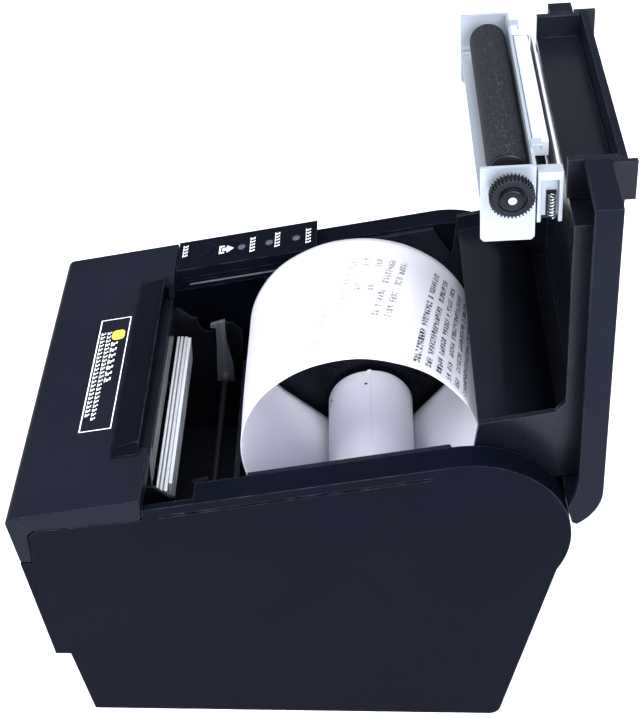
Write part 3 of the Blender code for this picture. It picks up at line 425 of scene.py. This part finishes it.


# The front cover is given lighter tones than the case: painted light on the top plate and painted shade on
# the sides.
CASE_TONES = ((0.0013, 0.0019, 0.0048), (0.0021, 0.0028, 0.0061))
CASE_PAINTED_SHADE = plastic("case_textured_painted_shade", *CASE_TONES, 0.44, 2600, 0.00006, 0.022)
COVER_PAINTED_LIGHT = plastic("cover_textured_painted_light", (0.0046, 0.0055, 0.0100), (0.0062, 0.0073, 0.0126), 0.44, 2600, 0.00006)
# The exit lip's darker tones are painted shade on its front face; its lower roughness is its own gloss.
LIP_PAINTED_SHADE = plastic("lip_smooth_painted_shade", (0.0012, 0.0016, 0.0036), (0.0020, 0.0025, 0.0050), 0.3, 2600, 0.00004, 0.03)
LID_SKIN = plastic("lid_textured", (0.0034, 0.0042, 0.0082), (0.0046, 0.0056, 0.0102), 0.42, 2600, 0.00006)
INNER = plastic("inner_satin", (0.0030, 0.0036, 0.0064), (0.0042, 0.0050, 0.0086), 0.28, 1800, 0.00002, 0.16)
COATED = plastic("black_coated", (0.0022, 0.0024, 0.0040), (0.0040, 0.0044, 0.0068), 0.34, 1500, 0.00003, 0.2)
GEARS = plastic("gear_black", (0.0036, 0.0040, 0.0060), (0.0060, 0.0064, 0.0092), 0.34, 2200, 0.00002, 0.12)
ROLLER = rubber("platen_rubber", (0.006, 0.007, 0.010), (0.042, 0.047, 0.060), 1900, 0.3)
FOOT = rubber("foot_rubber", (0.012, 0.012, 0.015), (0.04, 0.04, 0.045), 1400, 0.35)
SHEET = metal("plated_sheet", (0.80, 0.83, 0.88), 0.32, (0.05, 1, 1), metallic=0.55)
HOOK_METAL = latch_metal("latch_sheet", -44 * MM, -38 * MM)
PLATE = metal("bright_plated", (0.28, 0.315, 0.365), 0.36, (0.05, 1, 1), (0.21, 0.245, 0.295), 0.06, 0.35)
BLADE_METAL = metal("bright_blade", (0.50, 0.54, 0.59), 0.3, (0.03, 1, 1), (0.42, 0.46, 0.52), 0.06, 0.3)
GROUND = metal("ground_steel", (0.74, 0.76, 0.79), 0.22, (0.03, 1, 1), spots=0.08)
SHAFT = metal("turned_steel", (0.48, 0.49, 0.52), 0.24, (1, 0.04, 0.04), spots=0.05)
CAP_METAL = metal("grey_cap", (0.34, 0.35, 0.37), 0.5, tint=(0.26, 0.26, 0.28), spots=0.05, metallic=0.3)
SCREW = metal("screw_steel", (0.55, 0.56, 0.58), 0.3, spots=0.2)
GOLD = metal("contact_gold", (0.9, 0.7, 0.35), 0.25, tint=(0.7, 0.5, 0.2))
CERAMIC = metal("glazed_strip", (0.66, 0.70, 0.76), 0.2, (0.04, 1, 1), metallic=0.4)
PAPER = paper("thermal_paper", (0.86, 0.86, 0.90), (0.80, 0.80, 0.86))
# Places and radii of small nicks on the roll, each painted as a dark spot of shade.
NICK_SHADOWS = (((-32.0, 23.5, 74.8), 1.1), ((-33.5, 9.6, 63.5), 1.2), ((-32.2, 8.9, 62.3), 1.1))
# The roll is the same paper as the loop, given darker tones: painted shade inside the loop.
ROLL_PAPER_PAINTED_SHADE = paper("roll_paper_painted_shade", (0.70, 0.70, 0.77), (0.64, 0.64, 0.72), nick_shadows=NICK_SHADOWS)
BLANK_SIDE = paper("paper_blank_side", (0.93, 0.93, 1.0), (0.90, 0.90, 0.99), through=0.45)
PRINTED = printed_paper("printed_paper", (0.74, 0.74, 0.79), (0.69, 0.69, 0.75))
RINGS = wound_ends("wound_paper", (0.78, 0.78, 0.82), (0.50, 0.50, 0.55))
CARD = paper("roll_core_card", (0.42, 0.36, 0.28), (0.34, 0.29, 0.22))
BOARD = board("green_board")
WHITE_INK = ink("white_ink", (0.72, 0.73, 0.75))
DARK_INK = ink("dark_ink", (0.01, 0.01, 0.012))
# A pale plastic used for a painted highlight along the control panel's skirt.
SKIRT_HIGHLIGHT = plastic("skirt_painted_highlight", (0.05, 0.055, 0.065), (0.08, 0.085, 0.10), 0.4, 1500, 0.00002, 0.2)
TONGUE = plastic("socket_tongue", (0.55, 0.55, 0.53), (0.62, 0.62, 0.60), 0.4, 1500, 0.00002, 0.3)
FILM = plastic("rating_film", (0.50, 0.51, 0.52), (0.56, 0.57, 0.58), 0.35, 1800, 0.00001, 0.4)
AMBER_INK = ink("amber_ink", (0.85, 0.62, 0.05))
LENS = lens("frosted_lens", (0.045, 0.05, 0.062))

LOOKS = {
    CASE_PAINTED_SHADE: "main_case control_panel base_pan feed_button",
    COVER_PAINTED_LIGHT: "front_cover",
    LIP_PAINTED_SHADE: "paper_exit_lip",
    LID_SKIN: "lid_cover",
    INNER: "paper_bin cutter_housing power_socket drawer_socket switch_frame lid_bezel lid_liner",
    GEARS: "low_paper_lever idler_gear reducer_gear motor_pinion cutter_gear power_switch platen_gear"
    " platen_bush_right",
    CAP_METAL: "platen_bush_left",
    COATED: "mechanism_frame spring_plate blade_channel",
    HOOK_METAL: "platen_hook",
    ROLLER: "platen_roller",
    FOOT: "foot_1 foot_2 foot_3 foot_4",
    SHEET: "head_heat_sink blade_guard",
    PLATE: "platen_bracket bracket_hanger",
    BLADE_METAL: "fixed_blade",
    GROUND: "feed_motor cutter_motor usb_socket network_socket moving_blade",
    SHAFT: "platen_shaft hinge_pin_left hinge_pin_right",
    SCREW: "base_screw_1 base_screw_2 base_screw_3 base_screw_4 head_spring_left head_spring_right",
    CERAMIC: "print_head",
    BOARD: "control_board main_board",
    LENS: "led_power led_error led_paper",
    CARD: "paper_core",
    PAPER: "paper_loop paper_roll",
}
ROUNDING = {"main_case": 0.7, "front_cover": 0.6, "lid_cover": 0.7, "control_panel": 0.35, "base_pan": 0.6}
NO_ROUNDING = {"head_spring_left", "head_spring_right", "paper_loop", "paper_roll"}


def soften(obj, width):
    """Sews the imported triangles, rounds the sharp edges a little and evens the shading."""
    mesh = obj.data
    if "custom_normal" in mesh.attributes:
        mesh.attributes.remove(mesh.attributes["custom_normal"])
    mesh.shade_smooth()
    weld = obj.modifiers.new("sewn", "WELD")
    weld.merge_threshold = 0.00001
    flat = obj.modifiers.new("flat_faces", "DECIMATE")
    flat.decimate_type = "DISSOLVE"
    flat.angle_limit = radians(0.6)
    edge = obj.modifiers.new("rounded", "BEVEL")
    edge.width = width * MM
    edge.segments = 2
    edge.limit_method = "ANGLE"
    edge.angle_limit = radians(38)
    even = obj.modifiers.new("even_shading", "WEIGHTED_NORMAL")
    even.keep_sharp = True


def dress_nodes():
    for look, names in LOOKS.items():
        for name in names.split():
            obj = frame["nodes"][name]
            obj.data.materials.clear()
            obj.data.materials.append(look)
            if name not in NO_ROUNDING:
                soften(obj, ROUNDING.get(name, 0.18))
            else:
                obj.data.shade_smooth()


# ---------------------------------------------------------------- mesh helpers


def add_piece(name, mesh, look, body):
    obj = bpy.data.objects.new(name, mesh)
    SCENE.collection.objects.link(obj)
    mesh.materials.append(look)
    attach(obj, body)
    return obj


def mesh_from(name, verts, faces, smooth=True):
    mesh = bpy.data.meshes.new(name)
    mesh.from_pydata([tuple(v) for v in verts], [], faces)
    mesh.validate()
    if smooth:
        mesh.shade_smooth()
    return mesh


# ---------------------------------------------------------------- paper


def loop_section(centre_y, centre_z, big, roll_y, roll_z, small, steps):
    """Points of one closed section: a large arc above, drawn in round the roll below."""
    dy, dz = centre_y - roll_y, centre_z - roll_z
    reach = hypot(dy, dz)
    turn = atan2(dz, dy)
    spread = pi / 2 + atan2(big - small, sqrt(reach**2 - (big - small) ** 2))
    points = []
    for i in range(steps + 1):
        angle = turn - spread + 2 * spread * i / steps
        points.append((centre_y + big * cos(angle), centre_z + big * sin(angle)))
    tail = steps // 4
    for i in range(1, tail):
        angle = turn + spread + (2 * pi - 2 * spread) * i / tail
        points.append((roll_y + small * cos(angle), roll_z + small * sin(angle)))
    return points


def make_loop():
    low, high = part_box("paper_loop")
    rows, steps = 28, 120
    verts, lengths = [], []
    half = high.x
    for i in range(rows + 1):
        share = i / rows
        x = low.x + (high.x - low.x) * share
        far = 1 - share
        centre_y = (LOOP_Y + LOOP_FAR_Y * far) * MM
        centre_z = (LOOP_Z + LOOP_FAR_Z * far) * MM
        big = (LOOP_R + LOOP_FAR_R * far) * MM
        points = loop_section(centre_y, centre_z, big, ROLL.y, ROLL.z, LOOP_FOOT_R * MM, steps)
        run = [0.0]
        for j in range(1, len(points)):
            step_y, step_z = points[j][0] - points[j - 1][0], points[j][1] - points[j - 1][1]
            run.append(run[-1] + hypot(step_y, step_z))
        lengths.append(run)
        for j, (y, z) in enumerate(points):
            wave = noise.noise(Vector((x * 30, j * 0.11, 3.0))) * LOOP_WAVE * MM
            away = Vector((0, y - centre_y, z - centre_z)).normalized() * wave
            verts.append((x, y + away.y, z + away.z))
    count = len(points)
    faces, uvs = [], []
    for i in range(rows):
        for j in range(count):
            k = (j + 1) % count
            faces.append((i * count + j, i * count + k, (i + 1) * count + k, (i + 1) * count + j))
            end = lengths[i][j] + 0.002 if k == 0 else lengths[i][k]
            u0, u1 = half - verts[i * count][0], half - verts[(i + 1) * count][0]
            uvs += [(u0, lengths[i][j]), (u0, end), (u1, end), (u1, lengths[i][j])]
    mesh = mesh_from("paper_strip", verts, faces)
    layer = mesh.uv_layers.new(name="strip")
    for loop, uv in zip(layer.data, uvs):
        loop.uv = uv
    piece = add_piece("paper_strip", mesh, PRINTED, "case")
    thick = piece.modifiers.new("sheet", "SOLIDIFY")
    thick.thickness = LOOP_SHEET * MM
    thick.offset = -1
    thick.material_offset = 1
    thick.material_offset_rim = 1
    mesh.materials.append(BLANK_SIDE)
    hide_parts("paper_loop")
    apply_modifiers(piece)
    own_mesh(piece)


def apply_modifiers(obj):
    graph = bpy.context.evaluated_depsgraph_get()
    mesh = bpy.data.meshes.new_from_object(obj.evaluated_get(graph))
    obj.modifiers.clear()
    obj.data = mesh


def make_roll():
    low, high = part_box("paper_roll")
    steps, rows, bore, layer = 96, 24, ROLL_BORE * MM, ROLL_LAYER * MM
    turns = [ROLL_SEAM + 2 * pi * j / (steps - 1) * NEARLY_A_TURN for j in range(steps)]
    verts, faces = [], []
    for i in range(rows + 1):
        share = i / rows
        x = low.x + (high.x - low.x) * share
        for j, angle in enumerate(turns):
            radius = (ROLL_R - ROLL_TAPER * share) * MM + layer * j / (steps - 1)
            radius += noise.noise(Vector((x * 50, cos(angle), sin(angle)))) * 0.12 * MM
            verts.append((x, ROLL.y + radius * cos(angle), ROLL.z + radius * sin(angle)))
    for i in range(rows):
        for j in range(steps):
            k = (j + 1) % steps
            faces.append((i * steps + j, (i + 1) * steps + j, (i + 1) * steps + k, i * steps + k))
    ends = []
    for row, x in ((0, low.x), (rows, high.x)):
        start = len(verts)
        for angle in turns:
            verts.append((x, ROLL.y + bore * cos(angle), ROLL.z + bore * sin(angle)))
        ends.append(start)
        for j in range(steps):
            k = (j + 1) % steps
            face = (row * steps + j, row * steps + k, start + k, start + j)
            faces.append(face if row == 0 else face[::-1])
    for j in range(steps):
        k = (j + 1) % steps
        faces.append((ends[0] + j, ends[0] + k, ends[1] + k, ends[1] + j))
    mesh = mesh_from("wound_roll", verts, faces)
    mesh.set_sharp_from_angle(angle=radians(40))
    piece = add_piece("wound_roll", mesh, ROLL_PAPER_PAINTED_SHADE, "paper_roll")
    mesh.materials.append(RINGS)
    side = rows * steps
    for polygon in mesh.polygons[side : side + 2 * steps]:
        polygon.material_index = 1
    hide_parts("paper_roll")


# ---------------------------------------------------------------- marks


def top_place(x, y, rise=0.0):
    """A point on the sloping top plane, in metres, a height above it."""
    front_z = TOP_FRONT_Z + (y - TOP_FRONT_Y) * tan(TOP_LEAN)
    return Vector((x, y - rise * sin(TOP_LEAN), front_z + rise * cos(TOP_LEAN)))


def flat_marks(name, rows, rise, look, body, place=top_place, thick=0.04):
    """Thin raised marks: each is a polygon of (x, y) points in millimetres."""
    verts, faces = [], []
    for outline in rows:
        start, count = len(verts), len(outline)
        for level in (rise, rise + thick):
            verts += [place(x * MM, y * MM, level * MM) for x, y in outline]
        faces.append(tuple(range(start + count, start + 2 * count)))
        faces.append(tuple(reversed(range(start, start + count))))
        for i in range(count):
            j = (i + 1) % count
            faces.append((start + i, start + j, start + count + j, start + count + i))
    return add_piece(name, mesh_from(name, verts, faces, smooth=False), look, body)


def rectangle(x0, y0, x1, y1):
    return [(x0, y0), (x1, y0), (x1, y1), (x0, y1)]


def rounded(x0, y0, x1, y1, radius, steps=5):
    points = []
    for cx, cy, start in (
        (x1 - radius, y0 + radius, -90),
        (x1 - radius, y1 - radius, 0),
        (x0 + radius, y1 - radius, 90),
        (x0 + radius, y0 + radius, 180),
    ):
        for i in range(steps + 1):
            angle = radians(start + 90 * i / steps)
            points.append((cx + radius * cos(angle), cy + radius * sin(angle)))
    return points


def blocks(x, y, wide, tall, seed):
    """One unreadable mark: a few short bars in a cell."""
    bar = tall * 0.22
    first = 0.5 + 0.35 * noise.noise(Vector((seed * 1.7, 0.3, 0.9)))
    second = 0.5 + 0.35 * noise.noise(Vector((seed * 2.3, 4.1, 0.2)))
    middle, stem = y + tall * 0.36, x + wide * second * 0.7
    return [
        rectangle(x, y, x + wide, y + bar),
        rectangle(x + wide * first * 0.6, middle, x + wide * 0.92, middle + bar),
        rectangle(stem, middle + bar, stem + bar, y + tall),
        rectangle(x, y + tall - bar, x + wide * second, y + tall),
    ]


def make_label():
    """A framed label of unreadable marks with an amber spot, in place of the real one."""
    x0, y0, x1, y1 = LABEL_FRAME
    line = LABEL_LINE
    rows = [
        rectangle(x0, y0, x1, y0 + line + 0.1),
        rectangle(x0, y1 - line, x1, y1),
        rectangle(x0, y0 + line, x0 + line, y1 - line),
        rectangle(x1 - line, y0 + line, x1, y1 - line),
    ]
    for start, stop, y, size in LABEL_ROWS:
        pitch = size * 1.45
        for i in range(int((stop - start) / pitch)):
            rows += blocks(start + i * pitch, y, size, size, start + y * 3 + i)
    flat_marks("label_marks", rows, 0.02, WHITE_INK, "case", thick=0.08)
    spot = rounded(-21.4, -74.1, -15.8, -69.3, 1.6)
    flat_marks("label_spot", [spot], 0.02, AMBER_INK, "case", thick=0.08)


def make_panel_marks():
    """Groups of unreadable marks, and a plain arrow over a tray beside the button."""
    rows = []
    for x, y, count in PANEL_GROUPS:
        for i in range(count):
            start = x - count * PANEL_PITCH / 2 + i * PANEL_PITCH
            rows += blocks(start, y - 1.0, PANEL_PITCH * 0.72, 2.0, y * 3 + i)
    x, y = -64.2, -33.2
    rows.append([(x - 2.4, y + 0.2), (x, y + 3.0), (x + 2.4, y + 0.2)])
    rows.append(rectangle(x - 0.9, y - 1.6, x + 0.9, y + 0.2))
    rows.append(rectangle(x - 2.6, y - 2.9, x - 1.7, y - 0.8))
    rows.append(rectangle(x + 1.7, y - 2.9, x + 2.6, y - 0.8))
    rows.append(rectangle(x - 1.7, y - 2.9, x + 1.7, y - 2.2))
    flat_marks("panel_marks", rows, 0.0, WHITE_INK, "case", thick=0.05)


# ---------------------------------------------------------------- small hardware


def turned(name, profile, centre, look, body, steps=40, axis="X"):
    """A ring turned round an axis: the profile is a closed list of (along, radius) in millimetres."""
    verts, faces = [], []
    for i in range(steps):
        angle = 2 * pi * i / steps
        for along, radius in profile:
            across = (radius * cos(angle) * MM, radius * sin(angle) * MM)
            if axis == "X":
                verts.append((along * MM, centre[1] + across[0], centre[2] + across[1]))
            else:
                verts.append((centre[0] + across[0], along * MM, centre[2] - across[1]))
    count = len(profile)
    for i in range(steps):
        j = (i + 1) % steps
        for k in range(count):
            m = (k + 1) % count
            faces.append((i * count + k, i * count + m, j * count + m, j * count + k))
    mesh = mesh_from(name, verts, faces)
    mesh.set_sharp_from_angle(angle=radians(35))
    return add_piece(name, mesh, look, body)


def folded(name, path, x0, x1, thick, look, body, place=None, bevel=0.08):
    """A strip of sheet bent along a path of (u, v) points in millimetres, x0 to x1 wide."""
    half = thick / 2
    sides = ([], [])
    for i, (u, v) in enumerate(path):
        before = Vector(path[max(i - 1, 0)])
        after = Vector(path[min(i + 1, len(path) - 1)])
        here = Vector((u, v))
        ways = [way.normalized() for way in (here - before, after - here) if way.length > 0]
        bend = sum(ways, Vector((0, 0))).normalized()
        square = Vector((-bend.y, bend.x)) * (half / max(0.4, bend.dot(ways[0])))
        sides[0].append(here + square)
        sides[1].append(here - square)
    outline = sides[0] + sides[1][::-1]
    where = place or Matrix.Identity(4)
    verts = [where @ Vector((x * MM, p.x * MM, p.y * MM)) for x in (x0, x1) for p in outline]
    count, last = len(outline), len(path) - 1
    faces = []
    for i in range(last):
        quad = (i, i + 1, count - 2 - i, count - 1 - i)
        faces += [quad, tuple(count + k for k in reversed(quad))]
    for i in range(count):
        j = (i + 1) % count
        faces.append((j, i, count + i, count + j))
    mesh = mesh_from(name, verts, faces)
    work = bmesh.new()
    work.from_mesh(mesh)
    bmesh.ops.recalc_face_normals(work, faces=work.faces)
    work.to_mesh(mesh)
    work.free()
    piece = add_piece(name, mesh, look, body)
    edge = piece.modifiers.new("rounded", "BEVEL")
    edge.width = bevel * MM
    edge.segments = 2
    edge.limit_method = "ANGLE"
    piece.modifiers.new("even_shading", "WEIGHTED_NORMAL").keep_sharp = True
    return piece


def coil(name, place, radius, wire, start, stop, turns, look, body):
    """A wire spring wound along the local Z of its place."""
    steps, sides = int(turns * 20), 8
    verts, faces = [], []
    for i in range(steps + 1):
        angle = 2 * pi * turns * i / steps
        out = Vector((cos(angle), sin(angle), 0))
        middle = out * radius + Vector((0, 0, start + (stop - start) * i / steps))
        for k in range(sides):
            turn = 2 * pi * k / sides
            point = middle + out * wire * cos(turn) + Vector((0, 0, wire * sin(turn)))
            verts.append(place @ (point * MM))
    for i in range(steps):
        for k in range(sides):
            m = (k + 1) % sides
            faces.append((i * sides + k, i * sides + m, (i + 1) * sides + m, (i + 1) * sides + k))
    faces += [tuple(reversed(range(sides))), tuple(range(steps * sides, (steps + 1) * sides))]
    return add_piece(name, mesh_from(name, verts, faces), look, body)


def lid_side_place(u, v, x=0.0):
    return LID @ Vector((x, u, v))


def make_lid_hardware():
    axle = Vector(JOINTS["platen_spin"]["pos_m"])
    hub = [(56.7, 1.25), (57.7, 1.25), (57.9, 1.5), (57.9, 3.0), (57.6, 3.5), (56.7, 3.6)]
    turned("gear_hub_ring", hub, axle, GEARS, "platen")
    collar = [(41.25, 2.3), (41.25, 5.6), (41.6, 6.05), (42.2, 6.05), (42.5, 5.6), (42.5, 2.3)]
    turned("roller_collar_right", collar, axle, GEARS, "platen")
    turned("roller_collar_left", [(-x, r) for x, r in collar], axle, GEARS, "platen")
    clip = [(8.9, 113.4), (8.9, 118.2), (11.6, 118.2), (11.6, 116.7)]
    folded("blade_clip_left", clip, -41.5, -37.5, 0.5, PLATE, "lid", LID)
    folded("blade_clip_right", clip, 35.5, 39.5, 0.5, PLATE, "lid", LID)
    # A dark plate where the hanger's slot is: painted shade in the slot behind the spring.
    slot_shade = [[(12.5, 98.2), (15.6, 98.2), (15.6, 107.0), (12.5, 107.0)]]
    flat_marks("hanger_slot_painted_shade", slot_shade, 46.45, COATED, "lid", lid_side_place, 0.15)
    post = LID @ Matrix.Translation((48.2 * MM, 14.2 * MM, 0))
    coil("hanger_spring", post, 1.1, 0.22, 98.6, 106.5, 7, SCREW, "lid")


def make_panel_highlight():
    """A pale strip along the control panel's hanging skirt: a painted highlight on its rounded edge."""
    lean = Matrix.Translation((0, -47.7 * MM, 106.2 * MM)) @ Matrix.Rotation(TOP_LEAN, 4, "X")
    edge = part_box("control_panel")[1].x / MM
    path = [(0, 0), (17, 0), (34, 0), (50, 0)]
    folded("panel_skirt_painted_highlight", path, edge - 1.15, edge + 0.04, 0.24, SKIRT_HIGHLIGHT, "case", lean, 0.05)


def make_contact_row(socket, label, count):
    low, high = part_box(socket)
    middle = (low.x + high.x) / 2 / MM
    for i in range(count):
        name, x = f"{label}_contact_{i + 1}", middle + (i - (count - 1) / 2) * CONTACT_PITCH
        folded(name, CONTACT_BEND, x - 0.2, x + 0.2, 0.25, GOLD, "case", None, 0.04)


def make_power_pins():
    low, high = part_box("power_socket")
    centre = Vector(((low.x + high.x) / 2, 0, (low.z + high.z) / 2))
    for i in range(3):
        angle = radians(90 + 120 * i)
        place = centre + Vector((cos(angle), 0, sin(angle))) * 2.0 * MM
        pin = [(57.5, 0.02), (57.5, 0.5), (67.0, 0.5), (67.5, 0.3), (67.5, 0.02)]
        turned(f"power_pin_{i + 1}", pin, place, GOLD, "case", 16, "Y")


def make_usb_tongue():
    low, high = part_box("usb_socket")
    middle, level = (low.x + high.x) / 2 / MM, (low.z + high.z) / 2 / MM
    left, right, path = middle - 2.6, middle + 2.6, [(58.0, level), (68.2, level)]
    folded("usb_tongue", path, left, right, 2.4, TONGUE, "case", None, 0.25)
    for i, (side, row) in enumerate(((-1, -1), (1, -1), (-1, 1), (1, 1))):
        x, height = middle + side * 1.25, level + row * 1.28
        path = [(60.0, height), (68.0, height)]
        folded(f"usb_contact_{i + 1}", path, x - 0.4, x + 0.4, 0.16, GOLD, "case", None, 0.03)


def under_place(x, y, rise=0.0):
    return Vector((x, y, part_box("base_pan")[0].z - rise))


def screw_place(x, y, rise=0.0):
    return Vector((x, y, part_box("base_screw_1")[0].z - rise))


def make_underside():
    """A rating plate with plain bars, and the crosses of the base screws."""
    film = [rounded(-26, -16, 26, 18, 2)[::-1]]
    flat_marks("rating_film", film, 0.0, FILM, "case", under_place, 0.12)
    lines = [rectangle(-24, -14, 24, -13.7), rectangle(-24, 15.7, 24, 16), rectangle(-24, 4, 24, 4.25)]
    for y, wide in ((11, 26), (8, 34), (0, 30), (-3, 20), (-6, 36)):
        lines.append(rectangle(-22, y, -22 + wide, y + 0.9))
    lines = [line[::-1] for line in lines]
    flat_marks("rating_lines", lines, 0.12, DARK_INK, "case", under_place, 0.03)
    crosses = []
    for number in range(1, 5):
        low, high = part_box(f"base_screw_{number}")
        x, y = (low.x + high.x) / 2 / MM, (low.y + high.y) / 2 / MM
        crosses.append(rectangle(x - 1.5, y - 0.3, x + 1.5, y + 0.3)[::-1])
        crosses.append(rectangle(x - 0.3, y - 1.5, x + 0.3, y + 1.5)[::-1])
    flat_marks("screw_crosses", crosses, 0.0, DARK_INK, "case", screw_place, 0.03)


def make_roll_tear():
    """A torn corner standing up from the roll's far end."""
    corner = Vector((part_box("paper_roll")[0].x, ROLL.y - 0.6 * MM, ROLL.z + 17.2 * MM))
    foot = [(0.1, -1.6, 0), (1.6, -0.2, 0), (0.1, 0.9, 0)]
    tip = [(0, -0.9, 0.6), (0, 0.1, 0.9)]
    points = [corner + Vector(offset) * MM for offset in foot + tip]
    mesh = mesh_from("roll_tear", points, [(0, 1, 3), (1, 4, 3), (1, 2, 4)], smooth=False)
    piece = add_piece("roll_tear", mesh, PAPER, "paper_roll")
    piece.modifiers.new("sheet", "SOLIDIFY").thickness = 0.12 * MM


# ---------------------------------------------------------------- light and camera


def make_stage():
    bpy.ops.mesh.primitive_plane_add(size=12, location=(0, 0, 0))
    floor = bpy.context.object
    floor.name = "floor"
    made, tree, into = new_material("pale_floor", specular=0.1)
    link(tree, mix(tree, grain(tree, 3, 2), (0.93, 0.93, 0.935), (0.96, 0.96, 0.965)), into["Base Color"])
    into["Roughness"].default_value = 0.9
    floor.data.materials.append(made)
    world = bpy.data.worlds.new("studio")
    SCENE.world = world
    world.use_nodes = True
    back = world.node_tree.nodes["Background"]
    back.inputs["Color"].default_value = (0.86, 0.90, 1.0, 1)
    back.inputs["Strength"].default_value = 0.58


def add_light(name, place, target, size, power, colour=(1, 1, 1)):
    data = bpy.data.lights.new(name, "AREA")
    data.shape = "RECTANGLE"
    data.size = data.size_y = size
    data.energy = power
    data.color = colour
    obj = bpy.data.objects.new(name, data)
    SCENE.collection.objects.link(obj)
    obj.location = place
    obj.rotation_euler = (Vector(target) - Vector(place)).to_track_quat("-Z", "Y").to_euler()


def make_camera():
    data = bpy.data.cameras.new("view")
    data.sensor_width = 36
    data.lens = CAMERA_LENS
    data.clip_start = 0.01
    camera = bpy.data.objects.new("view", data)
    SCENE.collection.objects.link(camera)
    yaw, pitch = CAMERA_YAW, CAMERA_PITCH
    ahead = Vector((-cos(yaw) * cos(pitch), sin(yaw) * cos(pitch), -sin(pitch)))
    right = Vector((sin(yaw), cos(yaw), 0))
    up = right.cross(ahead)
    axes = Matrix((right, up, -ahead)).transposed().to_4x4()
    tilt = Matrix.Rotation(CAMERA_ROLL, 4, "Z")
    camera.matrix_world = Matrix.Translation(CAMERA_PLACE) @ axes @ tilt
    SCENE.camera = camera


dress_nodes()
make_loop()
make_roll()
make_roll_tear()
make_label()
make_panel_marks()
make_lid_hardware()
make_panel_highlight()
make_contact_row("network_socket", "network", 8)
make_contact_row("drawer_socket", "drawer", 6)
make_power_pins()
make_usb_tongue()
make_underside()
make_stage()
make_camera()
add_light("key", (0.60, -0.85, 0.75), (0, 0, 0.1), 0.7, 26)
add_light("window", (0.55, 0.25, 0.47), (0, -0.01, 0.09), 0.3, 5.5, (0.90, 0.92, 1.0))
add_light("fill", (1.0, 0.25, 0.80), (0, 0, 0.1), 0.7, 9)
add_light("overhead", (-0.1, 0, 1.4), (0, 0, 0.1), 1.0, 20)
SCENE.view_settings.view_transform = "Standard"
